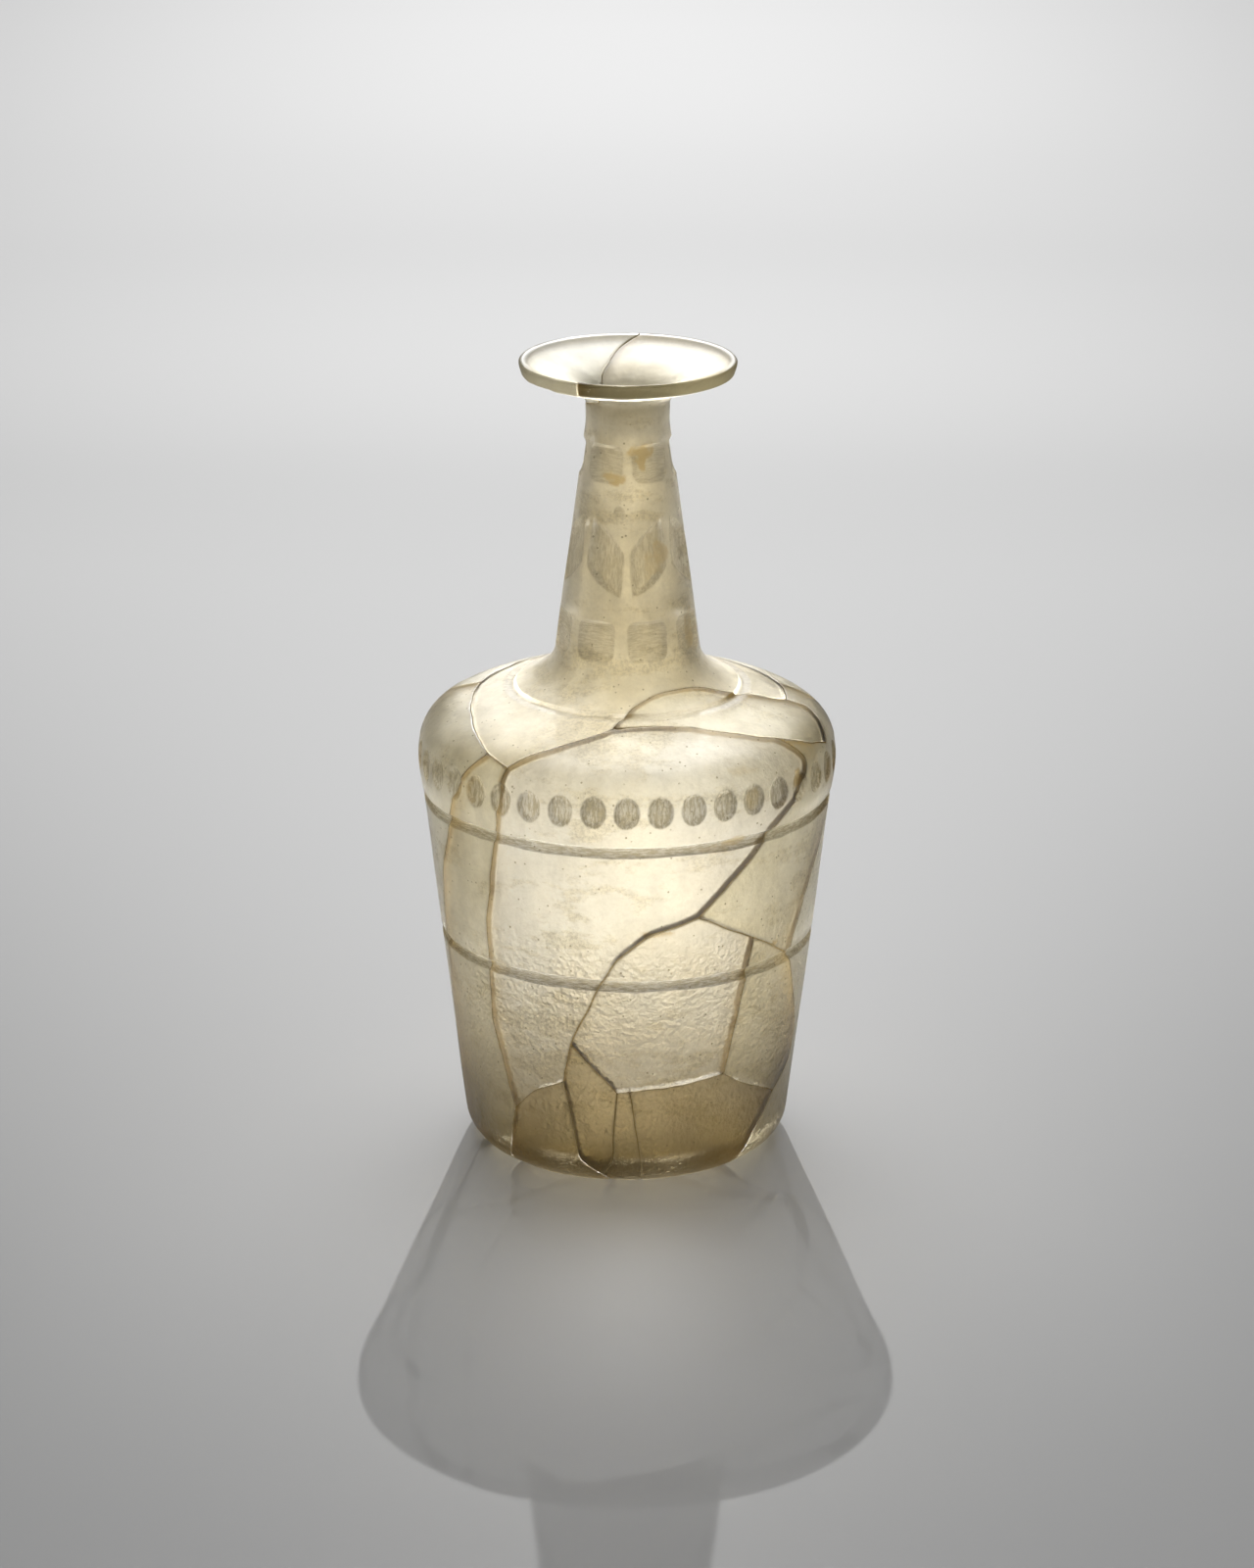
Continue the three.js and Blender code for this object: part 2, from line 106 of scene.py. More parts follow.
def turn_between(start: np.ndarray, end: np.ndarray) -> np.ndarray:
    """The short way round from one angle to another, in degrees from -180 to 180."""
    return (end - start + 180.0) % 360.0 - 180.0


def ripple(x: np.ndarray, y: np.ndarray, seed: float, octaves: int = 4) -> np.ndarray:
    """Uneven waves, about -1 to 1: a sum of sines whose directions turn by the golden angle.

    Each octave is 1.7 times finer than the last and 0.62 times as high.

    Args:
        x: First coordinate, in wavelengths of the widest wave.
        y: Second coordinate, in the same unit.
        seed: Moves the pattern.
        octaves: How many sizes of wave are summed.

    Returns:
        The height of the waves at each point.
    """
    golden_angle, finer, lower = 2.39996, 1.7, 0.62
    phase_step, phase_seed, usual_sum, waves = 5.17, 3.3, 3.2, 3
    total = np.zeros(np.broadcast(x, y).shape)
    for k in range(octaves * waves):
        octave = k // waves
        scale = 2 * math.pi * finer**octave
        heading = golden_angle * k + seed
        phase = phase_step * k + phase_seed * seed
        total += lower**octave * np.sin(scale * (x * math.cos(heading) + y * math.sin(heading)) + phase)
    return total / usual_sum


# The vessel's section.


@dataclass(frozen=True)
class Outline:
    """The section of the blown vessel, as the CAD source gives it, with its lip rounded over."""

    kick_height: float = 1.6
    rest_inner_radius: float = 24.0
    rest_width: float = 7.7
    heel_radius: float = 9.0
    heel_steepness: float = 67.0
    floor_thickness: float = 5.5
    floor_corner_width: float = 5.0
    floor_corner_lean: float = 0.5
    wall_rise: float = 76.8
    wall_flare: float = 9.25
    wall_thickness: float = 3.2
    shoulder_rise: float = 23.9
    shoulder_width: float = 18.15
    shoulder_wall_reach: float = 19.2
    shoulder_collar_reach: float = 15.0
    shoulder_bulge: float = 12.0
    shoulder_pitch: float = 20.0
    collar_rise: float = 9.1
    collar_width: float = 11.9
    collar_reach: float = 6.0
    collar_neck_reach: float = 4.5
    neck_rise: float = 51.0
    neck_taper: float = 6.8
    neck_thickness: float = 2.8
    throat_rise: float = 5.5
    rim_rise: float = 6.4
    rim_width: float = 14.2
    rim_thickness: float = 3.1
    rim_reach: float = 2.9
    lip_height: float = 3.09
    lip_lean: float = 1.1
    lip_fullness: float = 0.8
    lip_rounding: float = 0.15
    crest_shift: float = 0.2
    brim_way: tuple[float, float] = (0.5, 0.2)
    steps: int = 60

    def tables(self) -> tuple[np.ndarray, np.ndarray, np.ndarray]:
        """Samples the section.

        Returns:
            The stations, and the outside and the inside as rows of radius and height.
        """
        t = np.linspace(0.0, 1.0, self.steps + 1)
        rest = np.array([self.rest_inner_radius + self.rest_width, 0.0])
        wall = np.array([self.wall_flare, self.wall_rise])
        wall_way = wall / np.linalg.norm(wall)
        heel_end = -math.atan2(wall_way[0], wall_way[1])
        heel_start = -math.radians(self.heel_steepness)
        centre = rest - self.heel_radius * np.array([math.cos(heel_start), math.sin(heel_start)])
        sweep = heel_start + (heel_end - heel_start) * t
        heel = centre + self.heel_radius * np.stack([np.cos(sweep), np.sin(sweep)], axis=1)
        foot = heel[-1]
        wall_top = foot + wall
        shoulder = wall_top + (-self.shoulder_width, self.shoulder_rise)
        bulge, pitch = math.radians(self.shoulder_bulge), math.radians(self.shoulder_pitch)
        bulge_way = np.array([math.sin(bulge), math.cos(bulge)])
        shoulder_way = np.array([-math.cos(pitch), math.sin(pitch)])
        collar = shoulder + (-self.collar_width, self.collar_rise)
        neck = collar + (-self.neck_taper, self.neck_rise)
        neck_way = (neck - collar) / np.linalg.norm(neck - collar)
        throat = neck + (0.0, self.throat_rise)
        rim = throat + (self.rim_width, self.rim_rise)
        up = np.array([0.0, 1.0])
        outside = [
            bezier([(0, self.kick_height), (self.rest_inner_radius / 2, self.kick_height),
                    (self.rest_inner_radius, 0)], t),
            bezier([(self.rest_inner_radius, 0), rest], t),
            heel,
            bezier([foot, wall_top], t),
            bezier([wall_top, wall_top + self.shoulder_wall_reach * bulge_way,
                    shoulder - self.shoulder_collar_reach * shoulder_way, shoulder], t),
            bezier([shoulder, shoulder + self.collar_reach * shoulder_way,
                    collar - self.collar_neck_reach * neck_way, collar], t),
            bezier([collar, neck], t),
            bezier([neck, neck + self.throat_rise / 3 * neck_way,
                    throat - self.throat_rise / 3 * up, throat], t),
            bezier([throat, throat + self.rim_reach * up, rim + (throat - rim) / 3, rim], t),
        ]
        inside = self._inside(outside, t)
        lip = rim + (self.lip_lean, self.lip_height)
        brim = inside[-1][-1]
        crest = np.array([(lip[0] + brim[0]) / 2 + self.crest_shift, lip[1]])
        outside.append(bezier([rim, rim + self.lip_fullness * (lip - rim), lip - (self.lip_rounding, 0.0),
                               crest], t))
        inside.append(bezier([brim, brim + self.brim_way, crest], t))
        stations = np.concatenate([k + t for k in range(len(outside))])
        keep = np.r_[True, np.diff(stations) > 1e-9]
        return stations[keep], np.concatenate(outside)[keep], np.concatenate(inside)[keep]

    def _inside(self, outside: list[np.ndarray], t: np.ndarray) -> list[np.ndarray]:
        """The inside: the outside moved in by the wall's thickness, and a thick floor below the wall.

        Args:
            outside: The curves of the outside.
            t: Shares of a curve passed.

        Returns:
            The curves of the inside, as many as those of the outside.
        """
        wall, neck, rim = self.wall_thickness, self.neck_thickness, self.rim_thickness
        walls = [(wall, wall), (wall, wall), (wall, neck), (neck, neck), (neck, neck), (neck, rim)]
        moved = []
        for curve, (start, end) in zip(outside[3:], walls):
            tangent = np.gradient(curve, axis=0, edge_order=2)
            tangent /= np.linalg.norm(tangent, axis=1, keepdims=True)
            normal = np.stack([tangent[:, 1], -tangent[:, 0]], axis=1)
            moved.append(curve - normal * (start + (end - start) * t)[:, None])
        top = moved[0][0]
        edge = top[0] - self.floor_corner_width
        middle = edge * self.rest_inner_radius / (self.rest_inner_radius + self.rest_width)
        low, high = self.floor_thickness, self.floor_thickness + self.kick_height
        return [
            bezier([(0, high), (middle / 2, high), (middle, low)], t),
            bezier([(middle, low), (edge, low)], t),
            bezier([(edge, low), (top[0] - self.floor_corner_lean, low), top], t),
            *moved,
        ]


class Section:
    """The sampled section, read by station or by run."""

    def __init__(self, outline: Outline) -> None:
        """Args:
            outline: The sizes of the section.
        """
        self.station, self.outside, self.inside = outline.tables()
        steps = np.linalg.norm(np.diff(self.outside, axis=0), axis=1)
        self.run = np.r_[0.0, np.cumsum(steps)]
        tangent = np.gradient(self.outside, self.run + 1e-9 * np.arange(len(self.run)), axis=0)
        tangent /= np.linalg.norm(tangent, axis=1, keepdims=True)
        self.normal = np.stack([tangent[:, 1], -tangent[:, 0]], axis=1)

    def run_at(self, station: np.ndarray) -> np.ndarray:
        """The run at a station."""
        return np.interp(station, self.station, self.run)

    def station_at(self, run: np.ndarray) -> np.ndarray:
        """The station at a run."""
        return np.interp(run, self.run, self.station)

    def read(self, table: np.ndarray, station: np.ndarray) -> tuple[np.ndarray, np.ndarray]:
        """Both columns of a table at a station."""
        return np.interp(station, self.station, table[:, 0]), np.interp(station, self.station, table[:, 1])

    def radius(self, station: np.ndarray) -> np.ndarray:
        """The outside radius at a station."""
        return np.interp(station, self.station, self.outside[:, 0])


def around(radius: np.ndarray, height: np.ndarray, angle: np.ndarray) -> np.ndarray:
    """Turns a radius and height to an angle from the front, which is -Y: (r sin a, -r cos a, z)."""
    a = np.radians(angle)
    return np.stack([radius * np.sin(a), -radius * np.cos(a), np.broadcast_to(height, a.shape)], axis=-1)


# Wheel cutting.


@dataclass(frozen=True)
class CutRow:
    """A row of equal cuts round the vessel. The distance inside a cut's outline shapes its depth.

    The first is the angle of one cut, edge is how far inside the outline the full depth is reached, and
    wander is how far a cut strays from its even place.
    """

    count: int
    first: float
    station: float
    width: float
    height: float
    depth: float
    flat: bool = True
    edge: float = 0.4
    wander: float = 0.2
    stray_phases: ClassVar[tuple[float, float]] = (12.9, 7.3)
    dish_edge: ClassVar[float] = 0.9
    dish_sinking: ClassVar[float] = 0.1

    def local(self, section: Section, angle: np.ndarray, run: np.ndarray) -> tuple[np.ndarray, ...]:
        """Place of each point from the middle of the nearest cut.

        Args:
            section: The vessel's section.
            angle: Angles of the points.
            run: Runs of the points.

        Returns:
            How far round and how far up the point is, the turn in radians, and the cut's number.
        """
        pitch = 360.0 / self.count
        number = np.round((angle - self.first) / pitch) % self.count
        turn = np.radians(turn_between(self.first + number * pitch, angle))
        radius = section.radius(section.station_at(run))
        shift = self.wander * np.sin(number * self.stray_phases[0] + self.first)
        lift = self.wander * np.sin(number * self.stray_phases[1] + self.station)
        middle = section.run_at(np.array(self.station))
        return radius * turn - shift, run - middle - lift, turn, number

    def inside(self, x: np.ndarray, y: np.ndarray, number: np.ndarray) -> np.ndarray:
        """Distance inside the outline, negative outside it."""
        raise NotImplementedError

    def measure(self, section: Section, angle: np.ndarray, run: np.ndarray) -> tuple[np.ndarray, np.ndarray]:
        """Distance inside the nearest cut of the row, and its depth there.

        A flat facet is as deep as its plane lies under the round surface: its depth in the middle less
        the rise of the arc, r (1 - cos turn). A dish keeps nine tenths of its depth up to its edge.

        Args:
            section: The vessel's section.
            angle: Angles of the points.
            run: Runs of the points.

        Returns:
            The distance and the depth at each point.
        """
        x, y, turn, number = self.local(section, angle, run)
        distance = self.inside(x, y, number)
        radius = section.radius(section.station_at(run))
        if self.flat:
            shape = np.clip(self.depth - radius * (1 - np.cos(turn)), 0.0, None)
        else:
            sunk = self.dish_sinking * np.clip(distance * 2 / self.width, 0, 1)
            shape = self.depth * (self.dish_edge + sunk)
        return distance, shape * smooth(distance, 0.0, self.edge)


@dataclass(frozen=True)
class OvalRow(CutRow):
    """Upright ovals."""

    def inside(self, x: np.ndarray, y: np.ndarray, number: np.ndarray) -> np.ndarray:
        """One less the ellipse's radius, times the shorter half axis."""
        half = np.array([self.width / 2, self.height / 2])
        return (1 - np.hypot(x / half[0], y / half[1])) * half[0]


@dataclass(frozen=True)
class TabletRow(CutRow):
    """Squares with rounded corners."""

    corner: float = 2.4

    def inside(self, x: np.ndarray, y: np.ndarray, number: np.ndarray) -> np.ndarray:
        """The rounded box's distance: outside the inner box by less than the corner's radius.

        Args:
            x: How far round from the tablet's middle each point is.
            y: How far up from it each point is.
            number: The tablet's number; not used.

        Returns:
            The distance, negative outside the tablet.
        """
        past = np.stack([np.abs(x) - self.width / 2, np.abs(y) - self.height / 2]) + self.corner
        outer = np.hypot(*np.clip(past, 0.0, None))
        return self.corner - outer - np.clip(past.max(axis=0), None, 0.0)


@dataclass(frozen=True)
class LeafRow(CutRow):
    """Leaves in pairs whose points meet at the foot.

    The corners are those of a leaf with its point at the lower right, as shares of half its size: the
    top, the bend, the point and the side. The third number is how far the edge to the next one bows out.
    """

    corners: tuple[tuple[float, float, float], ...] = (
        (-0.7, 1.0, 0.9), (1.0, 0.1, 0.1), (0.95, -1.0, 1.0), (-1.0, -0.25, 0.4))

    def inside(self, x: np.ndarray, y: np.ndarray, number: np.ndarray) -> np.ndarray:
        """Least distance inside the circles whose arcs are the edges.

        A circle that passes through two corners a chord apart and bows out by b has a radius of
        (chord^2 / 4 + b^2) / 2b.

        Args:
            x: How far round from the leaf's middle each point is.
            y: How far up from it each point is.
            number: The leaf's number. An odd one is turned over.

        Returns:
            The distance, negative outside the leaf.
        """
        x = np.where(number % 2 == 0, x, -x)
        half = np.array([self.width, self.height]) / 2
        distance = np.full(x.shape, np.inf)
        for (ax, ay, bow), (bx, by, _) in zip(self.corners, self.corners[1:] + self.corners[:1]):
            start, end = half * (ax, ay), half * (bx, by)
            chord = np.linalg.norm(end - start)
            radius = (chord**2 / 4 + bow**2) / (2 * bow)
            inward = np.array([end[1] - start[1], start[0] - end[0]]) / chord
            centre = (start + end) / 2 + inward * (radius - bow)
            distance = np.minimum(distance, radius - np.hypot(x - centre[0], y - centre[1]))
        return distance


@dataclass(frozen=True)
class Cutting:
    """Everything that the wheel cut."""

    bands: tuple[float, ...] = (3.57, 3.995)
    band_width: float = 2.8
    band_depth: float = 0.85
    ring_station: float = 5.0
    ring_width: float = 3.3
    ring_slope: float = 2.4
    ring_depth: float = 0.6
    rows: tuple[CutRow, ...] = (
        OvalRow(40, 0.0, 4.2, 5.9, 7.6, 0.9, flat=False, edge=1.1),
        TabletRow(6, -31.0, 6.87, 9.2, 8.8, 0.85, edge=1.0),
        TabletRow(8, -27.0, 6.1, 9.6, 9.6, 0.85, edge=1.0),
        LeafRow(8, -24.0, 6.465, 9.4, 17.6, 1.0, edge=1.4),
        OvalRow(1, -9.1, 6.67, 2.6, 2.6, 0.15, flat=False, wander=0.0),
    )
    band_sway: float = 0.22
    band_unevenness: float = 0.12
    ring_sway: float = 0.2
    band_sway_angle: float = 70
    band_width_angle: float = 25
    ring_sway_angle: float = 60
    sway_seed: ClassVar[float] = 2.0
    width_seed: ClassVar[float] = 5.0
    ring_seed: ClassVar[float] = 9.0
    far_outside: ClassVar[float] = -9.0
    collar_stations: ClassVar[tuple[float, float]] = (4.8, 5.5)
    neck_dullness: ClassVar[float] = 0.6
    ring_dullness: ClassVar[float] = 0.45
    upright_stations: ClassVar[tuple[tuple[float, float], ...]] = ((4.2, 0.15), (6.465, 0.2))

    def measure(self, section: Section, angle: np.ndarray, run: np.ndarray) -> tuple[np.ndarray, np.ndarray]:
        """Distance inside the nearest outline, and the depth of the cut, at each point.

        A band is round-bottomed: its depth falls with the square of the distance from its middle line.
        The ring is a slope that deepens toward the collar and ends in a step.

        Args:
            section: The vessel's section.
            angle: Angles of the points.
            run: Runs of the points.

        Returns:
            The distance and the depth at each point.
        """
        level = np.zeros_like(angle)
        inside = np.full(angle.shape, self.far_outside)
        depth = np.zeros(angle.shape)
        for number, station in enumerate(self.bands):
            sway = self.band_sway * ripple(angle / self.band_sway_angle, level, self.sway_seed + number)
            off = run - section.run_at(np.array(station)) - sway
            uneven = ripple(angle / self.band_width_angle, level, self.width_seed + number)
            half = self.band_width / 2 * (1 + self.band_unevenness * uneven)
            inside = np.maximum(inside, half - np.abs(off))
            depth = np.maximum(depth, self.band_depth * np.clip(1 - (off / half) ** 2, 0, None))
        off = run - section.run_at(np.array(self.ring_station))
        off = off - self.ring_sway * ripple(angle / self.ring_sway_angle, level, self.ring_seed)
        slope = smooth(off, 0.0, self.ring_slope) * self.ring_depth
        step = smooth(self.ring_width - off, 0.0, self.ring_width - self.ring_slope)
        inside = np.maximum(inside, np.minimum(off, self.ring_width - off))
        depth = np.maximum(depth, slope * step)
        for row in self.rows:
            distance, shape = row.measure(section, angle, run)
            inside = np.maximum(inside, distance)
            depth = np.maximum(depth, shape)
        return inside, depth

    def dullness(self, station: np.ndarray) -> np.ndarray:
        """How dull the cuts are: one on the wall, less on the neck, and least at the ring.

        Args:
            station: Stations of the points.

        Returns:
            The dullness at each point.
        """
        wall_end, neck_start = self.collar_stations
        above = np.where(station > neck_start, self.neck_dullness, self.ring_dullness)
        return np.where(station < wall_end, 1.0, above)

    def upright(self, station: np.ndarray) -> np.ndarray:
        """One at the ovals and the leaves, which are ground up and down, and zero at the other cuts."""
        near = [np.abs(station - middle) < reach for middle, reach in self.upright_stations]
        return np.logical_or.reduce(near).astype(float)


# The network of breaks.


class Join(Enum):
    """How wide a break is open, in millimetres."""

    HAIRLINE = 0.08
    CLOSE = 0.2
    OPEN = 0.25
    WIDE = 0.3


JUNCTIONS: dict[str, Place] = {
    "left_end": (-103, 4.85),
    "left_upper": (-45, 4.53),
    "left": (-36, 4.45),
    "collar_front": (-6, 4.95),
    "shoulder_fork": (54, 4.64),
    "shoulder_tip": (75, 4.36),
    "collar_right": (86, 4.8),
    "collar_back": (106, 4.8),
    "wall_back_right": (103, 4.5),
    "wall_right": (55, 4.15),
    "centre": (21, 3.775),
    "fork": (41, 3.675),
    "right": (59, 3.575),
    "knee": (-18, 3.37),
    "lower_left": (-21, 3.245),
    "heel_left": (-41, 3.12),
    "chip_left": (-3, 3.22),
    "chip_right": (1, 3.225),
    "lower_right": (34, 3.25),
    "heel_right": (61, 3.125),
    "heel_front": (-8, 2.45),
    "back_left": (-121, 3.65),
    "back_middle": (-178, 3.6),
    "back_right": (125, 3.62),
    "floor_left": (-79, 0.78),
    "floor_front_left": (-50, 0.72),
    "floor_front": (-5, 0.8),
    "floor_front_right": (9, 0.78),
    "floor_right": (44, 0.7),
    "floor_back_right": (120, 0.76),
    "floor_back": (177, 0.72),
    "floor_back_left": (-130, 0.8),
}
BREAKS: list[tuple[Join, list[str | Place]]] = [
    (Join.CLOSE, ["left_end", (-85, 4.83), (-66, 4.75), (-51, 4.61), "left_upper"]),
    (Join.OPEN, ["left_upper", "left"]),
    (Join.OPEN, ["left_upper", (-54, 4.15), (-60, 3.95), (-68, 3.81), (-73, 3.65), (-78, 3.32), (-80, 2.6),
                 "floor_left"]),
    (Join.OPEN, ["left", (-38, 4.05), (-46, 3.7), (-48, 3.4), "heel_left"]),
    (Join.CLOSE, ["heel_left", (-44, 3.04), (-49, 2.35), "floor_front_left"]),
    (Join.OPEN, ["left", (-30, 4.63), (-21, 4.79), "collar_front"]),
    (Join.OPEN, ["collar_front", (10, 4.98), (26, 4.94), (40, 4.82), "shoulder_fork"]),
    (Join.OPEN, ["shoulder_fork", (65, 4.46), "shoulder_tip"]),
    (Join.CLOSE, ["collar_front", (4, 5.33), (20, 5.53), (40, 5.54), (55, 5.45), (71, 5.12), "collar_right"]),
    (Join.CLOSE, ["collar_right", (88, 4.65), "shoulder_tip"]),
    (Join.CLOSE, ["shoulder_fork", (60, 4.35), "wall_right"]),
    (Join.WIDE, ["wall_right", (38, 3.94), "centre"]),
    (Join.WIDE, ["centre", (7, 3.735), (-3, 3.655), (-9, 3.55), "knee"]),
    (Join.OPEN, ["knee", "lower_left"]),
    (Join.CLOSE, ["lower_left", (-19, 3.14), "heel_front"]),
    (Join.CLOSE, ["centre", "fork"]),
    (Join.OPEN, ["fork", "right"]),
    (Join.WIDE, ["fork", (39, 3.55), "lower_right"]),
    (Join.OPEN, ["right", (66, 3.735), (71, 3.82), (82, 3.97), "wall_back_right"]),
    (Join.CLOSE, ["wall_back_right", "collar_back"]),
    (Join.CLOSE, ["collar_right", "collar_back"]),
    (Join.OPEN, ["right", (70, 3.37), (75, 3.285), (73, 3.2), "heel_right"]),
    (Join.CLOSE, ["heel_right", (49, 3), (46, 2.4), "floor_right"]),
    (Join.OPEN, ["knee", "chip_left"]),
    (Join.HAIRLINE, ["chip_left", "chip_right"]),
    (Join.HAIRLINE, ["chip_right", "lower_right"]),
    (Join.HAIRLINE, ["lower_right", (41, 3.205), "heel_right"]),
    (Join.HAIRLINE, ["heel_left", (-32, 3.2), "lower_left"]),
    (Join.CLOSE, ["chip_left", (-5, 3), "heel_front"]),
    (Join.CLOSE, ["heel_front", (-6, 2), "floor_front"]),
    (Join.CLOSE, ["chip_right", (5, 3), (6, 2.2), "floor_front_right"]),
    (Join.CLOSE, ["collar_back", (130, 4.86), (158, 4.9), (185, 4.92), (210, 4.92), (235, 4.88), "left_end"]),
    (Join.CLOSE, ["left_end", (-112, 4.4), (-118, 3.95), "back_left"]),
    (Join.CLOSE, ["back_left", (-126, 3.3), (-132, 2.3), "floor_back_left"]),
    (Join.CLOSE, ["wall_back_right", (114, 4.2), (122, 3.9), "back_right"]),
    (Join.CLOSE, ["back_right", (121, 3.35), (123, 2.3), "floor_back_right"]),
    (Join.CLOSE, ["back_right", (152, 3.7), "back_middle"]),
    (Join.CLOSE, ["back_middle", (215, 3.74), "back_left"]),
    (Join.CLOSE, ["back_middle", (176, 3.3), (179, 2.3), "floor_back"]),
    (Join.HAIRLINE, ["floor_left", "floor_front_left"]),
    (Join.HAIRLINE, ["floor_front_left", "floor_front"]),
    (Join.HAIRLINE, ["floor_front", "floor_front_right"]),
    (Join.HAIRLINE, ["floor_front_right", "floor_right"]),
    (Join.HAIRLINE, ["floor_right", (80, 0.8), "floor_back_right"]),
    (Join.HAIRLINE, ["floor_back_right", (150, 0.8), "floor_back"]),
    (Join.HAIRLINE, ["floor_back", (205, 0.76), "floor_back_left"]),
    (Join.HAIRLINE, ["floor_back_left", (-104, 0.72), "floor_left"]),
    (Join.CLOSE, [(-27, 10), (-27, 9), (-28, 8.6), (-38, 8.15), (-95, 7.9), (-130, 8.1), (-160, 8.4),
                  (-186, 9), (-186, 10)]),
]


@dataclass
class Break:
    """One break between two junctions, as a fine line of angles and runs."""

    width: float
    angle: np.ndarray
    run: np.ndarray


@dataclass
class BreakNetwork:
    """All breaks of the vessel."""

    section: Section
    step: float = 0.9
    sway: float = 0.16
    sway_length: float = 14.0
    sway_row: float = 0.37
    still_end: float = 3.0
    least_radius: float = 6.0
    samples: int = 24
    lines: list[Break] = field(default_factory=list)

    def __post_init__(self) -> None:
        """Draws each break from its turning points."""
        self.lines = [self._draw(number, join, run) for number, (join, run) in enumerate(BREAKS)]

    def _draw(self, number: int, join: Join, run: list[str | Place]) -> Break:
        """Goes straight from one turning point to the next in angle and station, and sways a little.

        The sway is a sum of sines over the length, and fades out at both ends so that breaks still meet.

        Args:
            number: The break's number, which moves its sway.
            join: How wide it is open.
            run: Its turning points, each a junction's name or a place.

        Returns:
            The break.
        """
        places = np.array([JUNCTIONS[p] if isinstance(p, str) else p for p in run], float)
        angle, station = places[:, 0], places[:, 1]
        angle = angle[0] + np.r_[0.0, np.cumsum(turn_between(angle[:-1], angle[1:]))]
        share = np.linspace(0.0, 1.0, self.samples, endpoint=False)
        fine_angle = np.r_[(angle[:-1, None] + np.diff(angle)[:, None] * share).ravel(), angle[-1]]
        fine_station = np.r_[(station[:-1, None] + np.diff(station)[:, None] * share).ravel(), station[-1]]
        radius = np.maximum(self.section.radius(fine_station), self.least_radius)
        x = np.radians(fine_angle)
        y = self.section.run_at(fine_station)
        reach = np.hypot(np.diff(x) * (radius[1:] + radius[:-1]) / 2, np.diff(y))
        length = np.r_[0.0, np.cumsum(reach)]
        count = max(int(length[-1] / self.step), 2)
        at = np.linspace(0.0, length[-1], count + 1)
        x, y, radius = (np.interp(at, length, values) for values in (x, y, radius))
        x, y = self._rounded(x), self._rounded(y)
        fade = np.minimum(smooth(at, 0, self.still_end), smooth(length[-1] - at, 0, self.still_end))
        waves = ripple(at / self.sway_length, np.full_like(at, self.sway_row), 1.0 + number)
        sway = self.sway * waves * fade
        across = np.stack([-np.gradient(y), np.gradient(x) * radius])
        across /= np.linalg.norm(across, axis=0)
        return Break(join.value, np.degrees(x + across[0] * sway / radius), y + across[1] * sway)

    @staticmethod
    def _rounded(values: np.ndarray, times: int = 3) -> np.ndarray:
        """Rounds the turning points: each value becomes a mean with its neighbours, a few times.

        Args:
            values: One number for each point of the line.
            times: How often the mean is taken.

        Returns:
            The rounded values, with the same two ends.
        """
        for _ in range(times):
            inner = (values[:-2] + 2 * values[1:-1] + values[2:]) / 4
            values = np.r_[values[0], inner, values[-1]]
        return values


# The grid that sherds are cut from.


@dataclass
class Patch:
    """Triangles over the vessel.

    Each corner has an angle, a station, how far inside the sherd it is, how far inside the nearest cut,
    and the width of the nearest break.
    """

    angle: np.ndarray
    station: np.ndarray
    inside: np.ndarray
    faces: np.ndarray
    cut: np.ndarray
    gap: np.ndarray

    def split(self, values: np.ndarray, level: float) -> None:
        """Cuts every triangle that a level line of values crosses along that line.

        The corner on its own side of the line keeps a small triangle, and the other two share a quad.
        New corners lie where the value, taken as linear along the edge, reaches the level.

        Args:
            values: One number for each corner.
            level: The value to cut at.
        """
        above = values > level
        count = above[self.faces].sum(axis=1)
        crossed = (count == 1) | (count == 2)
        mixed = self.faces[crossed]
        if not len(mixed):
            return
        alone = np.argmax(above[mixed] == (count[crossed] == 1)[:, None], axis=1)
        rows = np.arange(len(mixed))
        a, b, c = (mixed[rows, (alone + k) % 3] for k in range(3))
        pairs = np.sort(np.concatenate([np.stack([a, b], 1), np.stack([a, c], 1)]), axis=1)
        total = len(values)
        keys, place = np.unique(pairs[:, 0] * total + pairs[:, 1], return_inverse=True)
        low, high = keys // total, keys % total
        share = (level - values[low]) / (values[high] - values[low])

        def along(field_values: np.ndarray) -> np.ndarray:
            """A field of numbers with those of the new corners."""
            return np.r_[field_values, field_values[low] + share * (field_values[high] - field_values[low])]

        turn = turn_between(self.angle[low], self.angle[high])
        self.angle = np.r_[self.angle, self.angle[low] + share * turn]
        self.station = along(self.station)
        self.inside = along(self.inside)
        self.cut = along(self.cut)
        self.gap = along(self.gap)
        new = place + total
        ab, ac = new[: len(mixed)], new[len(mixed) :]
        parts = [np.stack(p, 1) for p in ((a, ab, ac), (ab, b, c), (ab, c, ac))]
        self.faces = np.concatenate([self.faces[~crossed], *parts])

    def drop_outside(self) -> None:
        """Keeps the triangles inside the sherd and only the corners that they use."""
        self.faces = self.faces[self.inside[self.faces].mean(axis=1) > 0]
        used, self.faces = np.unique(self.faces, return_inverse=True)
        self.faces = self.faces.reshape(-1, 3)
        self.angle, self.station = self.angle[used], self.station[used]
        self.inside, self.cut, self.gap = self.inside[used], self.cut[used], self.gap[used]


